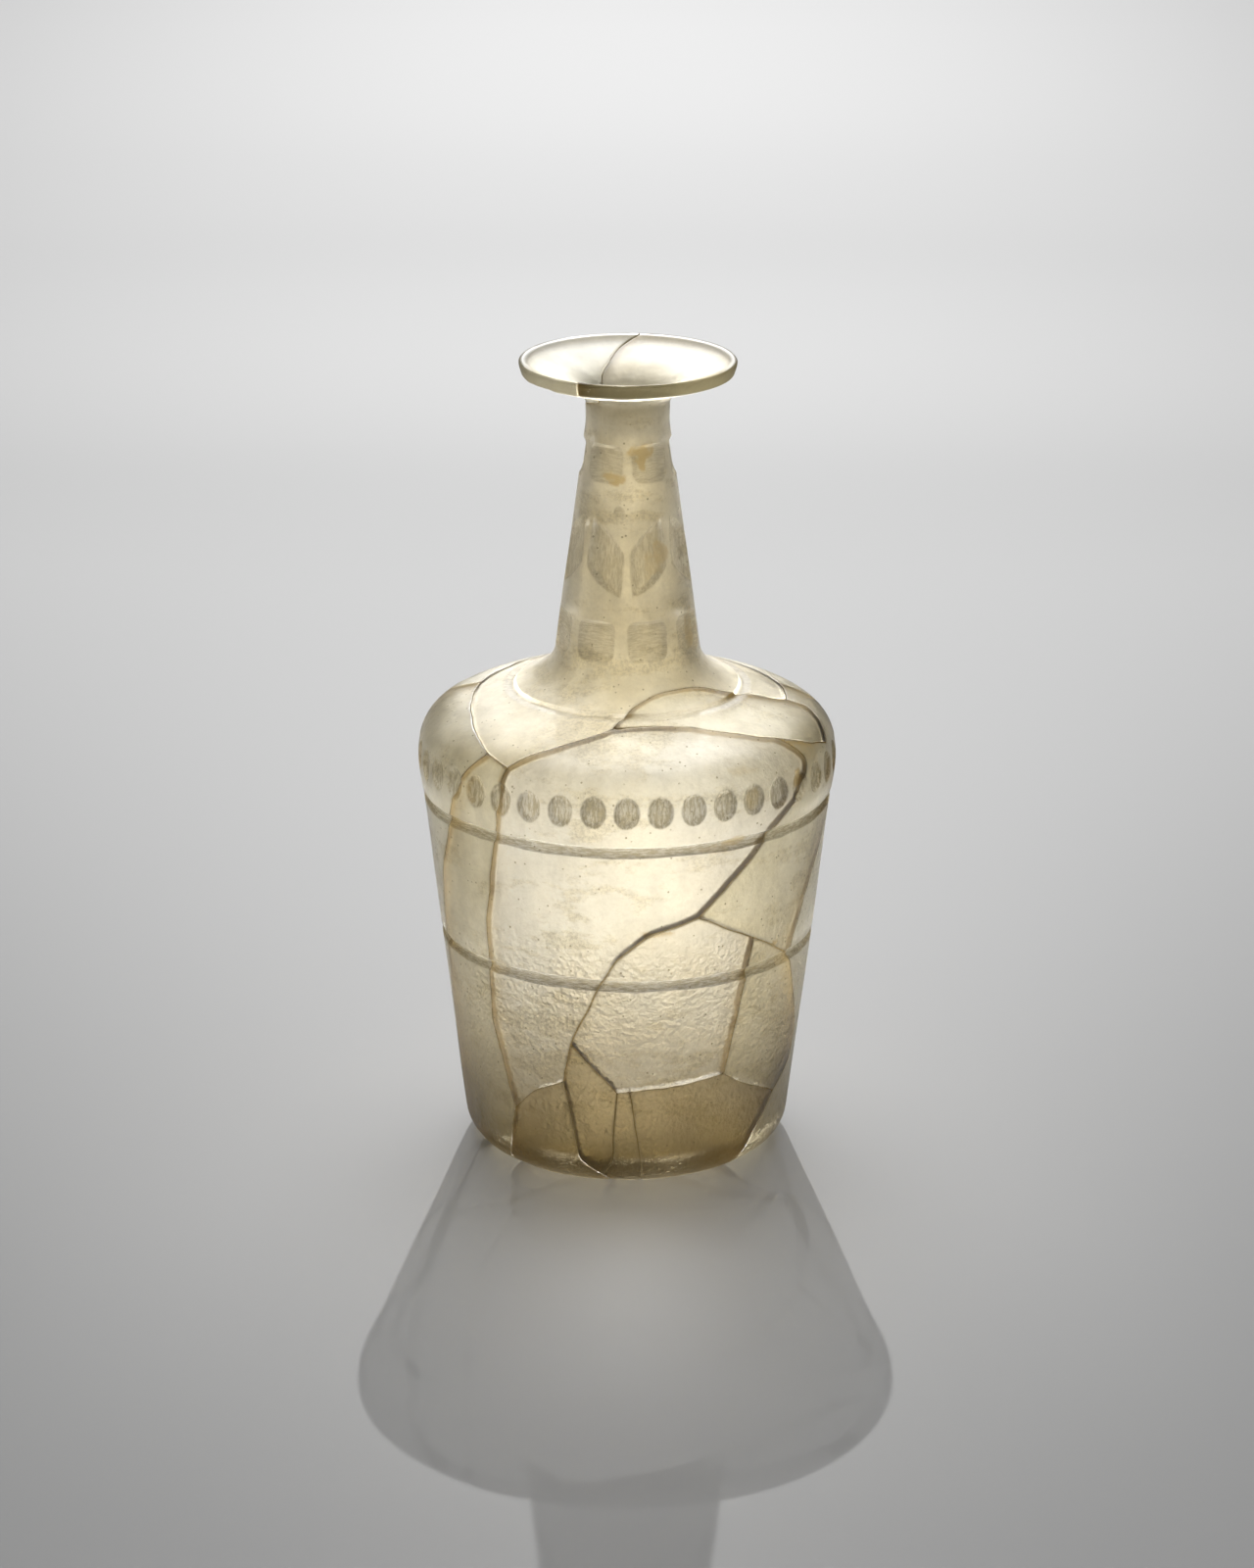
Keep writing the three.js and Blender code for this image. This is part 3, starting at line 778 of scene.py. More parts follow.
@dataclass
class Zone:
    """A grid over a part of the vessel's height, finer where the wheel has cut.

    The low and high ends are stations. The spacing is that of the rows, and fine is that near cuts.
    """

    section: Section
    cutting: Cutting
    network: BreakNetwork
    columns: int
    low: float
    high: float
    spacing: float
    fine: float
    far: ClassVar[float] = 4.0
    near: ClassVar[float] = 3.0
    samples: ClassVar[int] = 4000
    band_margin: ClassVar[float] = 0.4
    row_margin: ClassVar[float] = 0.6
    row_fineness: ClassVar[float] = 1.25
    ring_margin: ClassVar[float] = 0.5
    lip_station: ClassVar[float] = 9.0
    least_radius: ClassVar[float] = 1.0
    least_row_radius: ClassVar[float] = 0.5
    hair: ClassVar[float] = 1e-6

    def __post_init__(self) -> None:
        """Lays the rows, then finds the distance to the nearest break and the sherd of each corner."""
        self.runs = self._rows()
        self.stations = self.section.station_at(self.runs)
        self.pitch = 360.0 / self.columns
        self.angles = -180.0 + self.pitch * np.arange(self.columns)
        shape = (len(self.runs), self.columns)
        self.distance = np.full(shape, self.far)
        self.half_width = np.full(shape, Join.CLOSE.value / 2)
        self.across = np.zeros(shape, bool)
        self.along = np.zeros((shape[0] - 1, shape[1]), bool)
        for line in self.network.lines:
            self._trace(line)
        self.labels = self._components()

    def _rows(self) -> np.ndarray:
        """Lays the rows: the spacing shrinks near cuts, and each row is one spacing on from the last.

        Returns:
            The runs of the rows.
        """
        first, last = self.section.run_at(np.array([self.low, self.high]))
        at = np.linspace(first, last, self.samples)
        spacing = np.full_like(at, self.spacing)
        for station in self.cutting.bands:
            reach = self.cutting.band_width / 2 + self.band_margin
            spacing[np.abs(at - self.section.run_at(np.array(station))) < reach] = self.fine
        for row in self.cutting.rows:
            reach = row.height / 2 + self.row_margin
            near = np.abs(at - self.section.run_at(np.array(row.station))) < reach
            spacing[near] = np.minimum(spacing[near], self.fine * self.row_fineness)
        ring = at - self.section.run_at(np.array(self.cutting.ring_station))
        margin = self.ring_margin
        spacing[(ring > -margin) & (ring < self.cutting.ring_width + margin)] = self.fine
        spacing[at > self.section.run_at(np.array(self.lip_station)) - margin] = self.fine
        count = np.r_[0.0, np.cumsum(1 / spacing[1:] * np.diff(at))]
        return np.interp(np.linspace(0, count[-1], int(count[-1]) + 2), count, at)

    def _trace(self, line: Break) -> None:
        """Notes which steps of the grid a break crosses, and lowers the distances near it.

        Args:
            line: The break.
        """
        radius = np.maximum(self.section.radius(self.section.station_at(line.run)), self.least_radius)
        for k in range(len(line.run) - 1):
            run = line.run[k : k + 2]
            if run.max() < self.runs[0] - self.far or run.min() > self.runs[-1] + self.far:
                continue
            angle = line.angle[k : k + 2]
            self._cross(angle, run)
            self._near(angle, run, radius[k], line.width / 2)

    def _cross(self, angle: np.ndarray, run: np.ndarray) -> None:
        """Marks the steps of the grid that one piece of a break crosses.

        The runs are raised by a hair, so that a break that ends on the last row crosses it too.

        Args:
            angle: Angles of the piece's two ends.
            run: Runs of its two ends.
        """
        low, high = sorted(np.searchsorted(self.runs, run + self.hair))
        if high > low:
            rows = np.arange(low, high)
            share = (self.runs[rows] - run[0]) / (run[1] - run[0])
            column = np.floor((angle[0] + share * (angle[1] - angle[0]) + 180.0) / self.pitch).astype(int)
            self.across[rows, column % self.columns] = True
        places = (angle + 180.0) / self.pitch
        low, high = sorted(np.ceil(places).astype(int))
        if high > low:
            columns = np.arange(low, high)
            share = (columns - places[0]) / (places[1] - places[0])
            row = np.searchsorted(self.runs, run[0] + share * (run[1] - run[0])) - 1
            good = (row >= 0) & (row < len(self.runs) - 1)
            self.along[row[good], columns[good] % self.columns] = True

    def _near(self, angle: np.ndarray, run: np.ndarray, radius: float, half_width: float) -> None:
        """Lowers the distances round one piece of a break to those from a point to a line segment.

        Args:
            angle: Angles of the piece's two ends.
            run: Runs of its two ends.
            radius: Radius of the vessel there.
            half_width: Half of the break's width.
        """
        reach = self.near
        rows = slice(*np.searchsorted(self.runs, [run.min() - reach, run.max() + reach]))
        if rows.start == rows.stop:
            return
        spread = math.degrees(reach / radius)
        first = int(math.floor((angle.min() - spread + 180.0) / self.pitch))
        last = int(math.ceil((angle.max() + spread + 180.0) / self.pitch))
        columns = np.arange(first, min(last, first + self.columns - 1) + 1)
        radii = np.maximum(self.section.radius(self.stations[rows]), self.least_row_radius)
        scale = math.radians(1.0) * radii[:, None]
        x = (columns * self.pitch - 180.0 - angle[0])[None, :] * scale
        y = (self.runs[rows] - run[0])[:, None]
        way_x, way_y = (angle[1] - angle[0]) * scale, run[1] - run[0]
        share = np.clip((x * way_x + y * way_y) / (way_x**2 + way_y**2 + 1e-12), 0, 1)
        distance = np.hypot(x - share * way_x, y - share * way_y)
        columns = columns % self.columns
        block = self.distance[rows, :][:, columns]
        widths = self.half_width[rows, :][:, columns]
        nearer = distance < block
        block[nearer] = distance[nearer]
        widths[nearer] = half_width
        index = np.ix_(np.arange(rows.start, rows.stop), columns)
        self.distance[index] = block
        self.half_width[index] = widths

    def _components(self) -> np.ndarray:
        """Numbers the sherds: stretches of a row that no break parts, joined to those of the next row.

        Returns:
            The number of the sherd at each corner of the grid.
        """
        rows, columns = self.across.shape
        stretch = np.cumsum(np.c_[np.zeros(rows, int), self.across[:, :-1]], axis=1)
        closed = ~self.across[:, -1]
        stretch[closed] %= np.maximum(stretch[closed, -1:], 1)
        name = np.arange(rows)[:, None] * (columns + 1) + stretch
        open_steps = ~self.along
        pairs = np.stack([name[:-1][open_steps], name[1:][open_steps]], axis=1)
        codes, flat = np.unique(np.r_[pairs.ravel(), name.ravel()], return_inverse=True)
        links = np.unique(flat[: pairs.size].reshape(-1, 2), axis=0)
        parent = np.arange(len(codes))
        while True:
            least = parent.copy()
            np.minimum.at(least, links[:, 0], parent[links[:, 1]])
            np.minimum.at(least, links[:, 1], parent[links[:, 0]])
            least = np.minimum(least, least[least])
            if np.array_equal(least, parent):
                break
            parent = least
        return parent[flat[pairs.size :]].reshape(rows, columns)

    def patch(self, seed: Place) -> Patch:
        """The triangles round one sherd, not yet cut to its edge.

        Args:
            seed: A place in the middle of the sherd.

        Returns:
            The patch, with how far each corner is inside the sherd's edge.
        """
        row = int(np.argmin(np.abs(self.stations - seed[1])))
        column = int(round((turn_between(0.0, np.array(seed[0])) + 180.0) / self.pitch)) % self.columns
        mine = self.labels == self.labels[row, column]
        inside = np.where(mine, self.distance, -self.distance) - self.half_width
        corner = np.arange(mine.size).reshape(mine.shape)
        beside = np.roll(corner, -1, axis=1)
        a, b, c, d = corner[:-1], beside[:-1], beside[1:], corner[1:]
        slant = (np.add.outer(np.arange(a.shape[0]), np.arange(a.shape[1])) % 2 == 0)
        first = np.where(slant[..., None], np.stack([a, b, c], -1), np.stack([a, b, d], -1))
        second = np.where(slant[..., None], np.stack([a, c, d], -1), np.stack([b, c, d], -1))
        faces = np.concatenate([first.reshape(-1, 3), second.reshape(-1, 3)])
        faces = faces[mine.ravel()[faces].any(axis=1)]
        used, faces = np.unique(faces, return_inverse=True)
        rows, columns = np.divmod(used, self.columns)
        return Patch(self.angles[columns], self.stations[rows], inside.ravel()[used],
                     faces.reshape(-1, 3), np.zeros(len(used)), self.half_width.ravel()[used] * 2)


# Meshes.


def write_mesh(name: str, points: np.ndarray, faces: np.ndarray,
               masks: dict[str, np.ndarray]) -> bpy.types.Object:
    """Puts whole arrays into a new mesh object at the origin.

    Args:
        name: Name of the object and its mesh.
        points: Corners in millimetres.
        faces: Triangles, as rows of corner numbers.
        masks: Numbers for each corner that the materials read, by attribute name.

    Returns:
        The object, linked to the scene.
    """
    mesh = bpy.data.meshes.new(name)
    mesh.vertices.add(len(points))
    mesh.vertices.foreach_set("co", (points * MM).astype(np.float32).ravel())
    mesh.loops.add(faces.size)
    mesh.loops.foreach_set("vertex_index", faces.astype(np.int32).ravel())
    mesh.polygons.add(len(faces))
    mesh.polygons.foreach_set("loop_start", np.arange(0, faces.size, 3, dtype=np.int32))
    mesh.update(calc_edges=True)
    mesh.validate()
    for mask, values in masks.items():
        mesh.attributes.new(mask, "FLOAT", "POINT").data.foreach_set("value", values.astype(np.float32))
    mesh.shade_smooth()
    mesh.set_sharp_from_angle(angle=SHARP_ANGLE)
    made = bpy.data.objects.new(name, mesh)
    bpy.context.scene.collection.objects.link(made)
    return made


@dataclass(frozen=True)
class Stain:
    """An amber remain of resin on the surface: an uneven oval round a place."""

    angle: float
    station: float
    width: float
    height: float
    strength: float = 1.0
    wave_height: ClassVar[float] = 0.35
    wave_length: ClassVar[float] = 2.2
    fringe: ClassVar[float] = 0.3
    spread: ClassVar[float] = 1.15

    def cover(self, section: Section, angle: np.ndarray, run: np.ndarray) -> np.ndarray:
        """How much of the stain lies on each point: full inside a wavy ellipse, and none outside it.

        Args:
            section: The vessel's section.
            angle: Angles of the points.
            run: Runs of the points.

        Returns:
            The cover, from zero to the stain's strength.
        """
        radius = section.radius(np.array(self.station))
        x = np.radians(turn_between(self.angle, angle)) * radius / (self.width / 2)
        y = (run - section.run_at(np.array(self.station))) / (self.height / 2)
        length = self.wave_length
        wave = self.wave_height * ripple(x / length, y / length, self.angle + self.station)
        return self.strength * smooth(self.spread - np.hypot(x, y) + wave, 0.0, self.fringe)


@dataclass
class Vessel:
    """The whole surface: the section turned round, less what was cut, worn and left uneven."""

    section: Section
    cutting: Cutting
    stains: tuple[Stain, ...]
    wear: float = 0.12
    wear_width: float = 0.3
    unevenness: float = 0.16
    wave_length: float = 70.0
    wave_seed: float = 4.0
    lean: float = 1.2
    squash: float = 0.5
    lip_fade: float = 0.25
    pole_fade: float = 0.2

    def wave(self, angle: np.ndarray, run: np.ndarray) -> np.ndarray:
        """Blown glass is never quite round: waves of a few centimetres, from zero to twice the unevenness.

        Args:
            angle: Angles of the points.
            run: Runs of the points.

        Returns:
            How far each point lies under the even surface.
        """
        turn = np.radians(angle)
        across = self.lean * np.sin(turn) + self.squash * np.cos(2 * turn)
        waves = ripple(across, run / self.wave_length, self.wave_seed)
        return self.unevenness * (1 + np.clip(waves, -1, 1))

    def outer(self, angle: np.ndarray, station: np.ndarray, depth: np.ndarray) -> np.ndarray:
        """Points a depth under the outside, along its normal.

        Args:
            angle: Angles of the points.
            station: Their stations.
            depth: Their depths.

        Returns:
            One row of x, y and z for each point.
        """
        radius, height = self.section.read(self.section.outside, station)
        across, up = self.section.read(self.section.normal, station)
        return around(radius - across * depth, height - up * depth, angle)

    def inner(self, angle: np.ndarray, station: np.ndarray, share: np.ndarray | float = 0.0) -> np.ndarray:
        """Points on the inside, or a share of the way from it to the outside.

        Args:
            angle: Angles of the points.
            station: Their stations.
            share: The share, zero on the inside.

        Returns:
            One row of x, y and z for each point.
        """
        inner_radius, inner_height = self.section.read(self.section.inside, station)
        radius, height = self.section.read(self.section.outside, station)
        return around(inner_radius + share * (radius - inner_radius),
                      inner_height + share * (height - inner_height), angle)

    def fade(self, station: np.ndarray) -> np.ndarray:
        """How much wear and wave there is: none at the crest of the lip and the middle of the base."""
        return smooth(CREST_STATION - station, 0.0, self.lip_fade) * smooth(station, 0.0, self.pole_fade)


@dataclass
class Sherd:
    """One sherd, named as its CAD node: a closed solid with both surfaces and its broken edge.

    The seed is a place in the middle of it. A hairline break glints a little more than the wider ones,
    because its edge counts as less broken.
    """

    name: str
    seed: Place
    finish: Finish
    worn_levels: ClassVar[tuple[float, ...]] = (0.1, 0.22, 0.55)
    cut_levels: ClassVar[tuple[float, ...]] = (0.0, 0.36)
    inner_wear: ClassVar[float] = 0.04
    chip_height: ClassVar[float] = 0.7
    chip_range: ClassVar[tuple[float, float]] = (0.2, 2.0)
    chip_pitch: ClassVar[tuple[float, float]] = (5.0, 9.0)
    chip_seed: ClassVar[float] = 6.0
    broken_width: ClassVar[float] = 0.17
    hairline_share: ClassVar[float] = 0.93
    gap_slack: ClassVar[float] = 0.01
    ground_range: ClassVar[tuple[float, float]] = (-0.05, 0.25)
    tiny: ClassVar[float] = 1e-6

    def build(self, vessel: Vessel, zone: Zone) -> bpy.types.Object:
        """Cuts the sherd from its zone's grid and gives it thickness.

        The grid's triangles are cut along the sherd's edge, along three lines inside it for the worn
        arris, and along the outlines of the wheel's cuts. Each corner then goes to the outside and to
        the inside of the wall, and the two are joined round the broken edge.

        Args:
            vessel: The surface.
            zone: The grid to cut from.

        Returns:
            The sherd's object.
        """
        patch = zone.patch(self.seed)
        patch.split(patch.inside, 0.0)
        patch.drop_outside()
        for level in self.worn_levels:
            patch.split(patch.inside, level)
        run = vessel.section.run_at(patch.station)
        patch.cut = vessel.cutting.measure(vessel.section, patch.angle, run)[0]
        for level in self.cut_levels:
            patch.split(patch.cut, level)
        return self._thicken(vessel, patch)

    def _thicken(self, vessel: Vessel, patch: Patch) -> bpy.types.Object:
        """Makes the closed solid from the patch.

        The worn arris is a curve that falls by the square of the distance to the edge, with waves in it.

        Args:
            vessel: The surface.
            patch: The triangles of the sherd.

        Returns:
            The sherd's object.
        """
        angle, station = patch.angle, patch.station
        run = vessel.section.run_at(station)
        inside, cut = vessel.cutting.measure(vessel.section, angle, run)
        near = np.clip(1 - patch.inside / vessel.wear_width, 0, 1)
        across, along = self.chip_pitch
        chips = 1 + self.chip_height * ripple(np.radians(angle) * across, run / along, self.chip_seed)
        worn = vessel.wear * near**2 * np.clip(chips, *self.chip_range)
        fade = vessel.fade(station)
        outer = vessel.outer(angle, station, (cut + worn + vessel.wave(angle, run)) * fade)
        inner = vessel.inner(angle, station, self.inner_wear * near**2 * fade)
        high, low = self._corners(station)
        faces = np.concatenate([high[patch.faces], low[patch.faces][:, ::-1], self._edge(patch, high, low)])
        first, second, third = faces.T
        faces = faces[(first != second) & (second != third) & (third != first)]
        broken = np.exp(-np.clip(patch.inside, 0, None) / self.broken_width)
        broken *= np.where(patch.gap < Join.CLOSE.value - self.gap_slack, self.hairline_share, 1.0)
        within = np.zeros(len(angle))
        amber = np.max([stain.cover(vessel.section, angle, run) for stain in vessel.stains], axis=0)
        ground = smooth(inside, *self.ground_range) * vessel.cutting.dullness(station)
        masks = {
            "outer": np.r_[within + 1.0, within],
            "ground": np.r_[ground, within],
            "upright": np.tile(vessel.cutting.upright(station), 2),
            "broken": np.tile(broken, 2),
            "amber": np.r_[amber, within],
        }
        used, faces = np.unique(faces, return_inverse=True)
        points = np.concatenate([outer, inner])[used]
        return write_mesh(f"glass_{self.name}", points, faces.reshape(-1, 3),
                          {mask: values[used] for mask, values in masks.items()})

    def _corners(self, station: np.ndarray) -> tuple[np.ndarray, np.ndarray]:
        """Numbers the corners, so that both surfaces share those at the crest of the lip.

        At the middle of the base, each surface has a single corner.

        Args:
            station: The stations of the patch's corners.

        Returns:
            For each corner of the patch, its corner on the outside and that on the inside.
        """
        high = np.arange(len(station))
        low = high + len(station)
        crest = station > CREST_STATION - self.tiny
        low[crest] = np.flatnonzero(crest)
        pole = station < self.tiny
        if pole.any():
            high[pole] = np.flatnonzero(pole)[0]
            low[pole] = high[pole] + len(station)
        return high, low

    @staticmethod
    def _edge(patch: Patch, high: np.ndarray, low: np.ndarray) -> np.ndarray:
        """Two triangles for each step of the broken edge: the steps that only one triangle has.

        Args:
            patch: The triangles of the sherd.
            high: For each corner of the patch, its corner on the outside.
            low: The same for the inside.

        Returns:
            The triangles, as rows of corner numbers.
        """
        steps = np.concatenate([patch.faces[:, [0, 1]], patch.faces[:, [1, 2]], patch.faces[:, [2, 0]]])
        total = len(patch.angle)
        ahead = steps[:, 0].astype(np.int64) * total + steps[:, 1]
        back = steps[:, 1].astype(np.int64) * total + steps[:, 0]
        p, q = steps[~np.isin(ahead, back)].T
        return np.concatenate([
            np.stack([high[q], high[p], low[p]], 1),
            np.stack([high[q], low[p], low[q]], 1),
        ])


@dataclass
class Joins:
    """The clear adhesive, brown with age, that fills every break a little below the surface."""

    vessel: Vessel
    network: BreakNetwork
    slack: float = 0.02
    recess: float = 0.14
    lift: float = 0.05
    least_radius: float = 1.0

    def build(self) -> bpy.types.Object:
        """Makes one film for each break.

        A film's section is a thin box: at each point of the break, two corners under the outside and two
        above the inside, half the break's width to either side. The corners run along the break in four
        lines, and the boxes at its two ends are closed.

        Returns:
            One object that holds all films.
        """
        points, faces, start = [], [], 0
        for line in self.network.lines:
            corners = self._corners(line)
            steps = corners.shape[0]
            ring = np.arange(steps * 4).reshape(steps, 4) + start
            a, b = ring[:-1], ring[1:]
            c, d = np.roll(b, -1, axis=1), np.roll(a, -1, axis=1)
            faces += [np.stack([a, b, c], -1).reshape(-1, 3), np.stack([a, c, d], -1).reshape(-1, 3)]
            first, last = ring[0], ring[-1]
            faces.append(np.array([first[[0, 1, 2]], first[[0, 2, 3]], last[[0, 2, 1]], last[[0, 3, 2]]]))
            points.append(corners.reshape(-1, 3))
            start += steps * 4
        points = np.concatenate(points)
        return write_mesh("adhesive_films", points, np.concatenate(faces), {"outer": np.ones(len(points))})

    def _corners(self, line: Break) -> np.ndarray:
        """The four corners of the film at each point of a break, in order round its section.

        Args:
            line: The break.

        Returns:
            For each point of the break, four rows of x, y and z.
        """
        section = self.vessel.section
        radius = np.maximum(section.radius(section.station_at(line.run)), self.least_radius)
        x, y = np.gradient(np.radians(line.angle)) * radius, np.gradient(line.run)
        across = np.stack([-y, x]) / np.hypot(x, y)
        half = line.width / 2 - self.slack
        sides = []
        for side in (-half, half):
            angle = line.angle + np.degrees(across[0] * side / radius)
            run = line.run + across[1] * side
            station = section.station_at(run)
            cut = self.vessel.cutting.measure(section, angle, run)[1] + self.recess
            cut = (cut + self.vessel.wave(angle, run)) * self.vessel.fade(station)
            sides.append((self.vessel.outer(angle, station, cut),
                          self.vessel.inner(angle, station, self.lift)))
        (outer_a, inner_a), (outer_b, inner_b) = sides
        return np.stack([outer_a, outer_b, inner_b, inner_a], axis=1)


# Materials.


class Nodes:
    """A short way to add nodes and link them, for one node tree."""

    def __init__(self, tree: bpy.types.NodeTree) -> None:
        """Keeps the tree that nodes are added to."""
        self.tree = tree

    def add(self, kind: str, inputs: Optional[dict] = None, **settings: object) -> bpy.types.Node:
        """Adds a node.

        Args:
            kind: The node's type name, less its leading ShaderNode.
            inputs: Values or sockets for its inputs, by name or number.
            settings: Properties of the node.

        Returns:
            The node.
        """
        node = self.tree.nodes.new(kind if kind.startswith("Node") else f"ShaderNode{kind}")
        for key, value in settings.items():
            setattr(node, key, value)
        self.set(node, inputs or {})
        return node

    def set(self, node: bpy.types.Node, inputs: dict) -> None:
        """Gives a node's inputs their values, or links sockets to them.

        Args:
            node: The node.
            inputs: Values or sockets, by the input's name or number.
        """
        for key, value in inputs.items():
            if isinstance(value, Socket):
                self.tree.links.new(value, node.inputs[key])
            else:
                node.inputs[key].default_value = value

    def math(self, operation: str, a: object, b: object = 0.0, clamp: bool = False) -> Socket:
        """The output of a Math node on two values or sockets."""
        return self.add("Math", {0: a, 1: b}, operation=operation, use_clamp=clamp).outputs[0]

    def times(self, first: object, *others: object, clamp: bool = False) -> Socket:
        """A product of values or sockets.

        Args:
            first: The first of them.
            others: The rest.
            clamp: Whether each product is held between zero and one.

        Returns:
            The product.
        """
        for other in others:
            first = self.math("MULTIPLY", first, other, clamp)
        return first

    def plus(self, first: object, *others: object, clamp: bool = False) -> Socket:
        """A sum of values or sockets.

        Args:
            first: The first of them.
            others: The rest.
            clamp: Whether each sum is held between zero and one.

        Returns:
            The sum.
        """
        for other in others:
            first = self.math("ADD", first, other, clamp)
        return first

    def ramp(self, value: object, low: float, high: float, first: float = 0.0,
             last: float = 1.0) -> Socket:
        """A value taken smoothly from one range to another."""
        inputs = {"Value": value, "From Min": low, "From Max": high, "To Min": first, "To Max": last}
        return self.add("MapRange", inputs, interpolation_type="SMOOTHSTEP").outputs[0]

    def noise(self, vector: object, scale: float, detail: float, rough: float) -> Socket:
        """The factor of a Noise Texture."""
        inputs = {"Vector": vector, "Scale": scale, "Detail": detail, "Roughness": rough}
        return self.add("TexNoise", inputs).outputs["Fac"]

    def stretch(self, vector: object, scale: Numbers) -> Socket:
        """Coordinates scaled along each axis."""
        return self.add("Mapping", {"Vector": vector, "Scale": scale}).outputs[0]

    def blend(self, share: object, a: object, b: object, mode: str = "MIX") -> Socket:
        """Two colours blended."""
        inputs = {0: share, 6: a, 7: b}
        return self.add("Mix", inputs, data_type="RGBA", blend_type=mode).outputs[2]

    def dye(self, share: object, colour: object, dye: Numbers) -> Socket:
        """A colour, part of which is multiplied by a dye."""
        return self.blend(share, colour, self.blend(1.0, colour, rgba(*dye), "MULTIPLY"))

    def grey(self, value: object) -> Socket:
        """A grey of the given brightness."""
        return self.add("CombineColor", {0: value, 1: value, 2: value}).outputs[0]

    def shade(self, colour: object, value: object) -> Socket:
        """A colour times a number."""
        return self.blend(1.0, colour, self.grey(value), "MULTIPLY")

    def mask(self, name: str) -> Socket:
        """A number stored at the mesh's corners."""
        return self.add("Attribute", attribute_name=name).outputs["Fac"]


def rgba(red: float, green: float, blue: float) -> tuple[float, float, float, float]:
    """A colour with full alpha."""
    return red, green, blue, 1.0


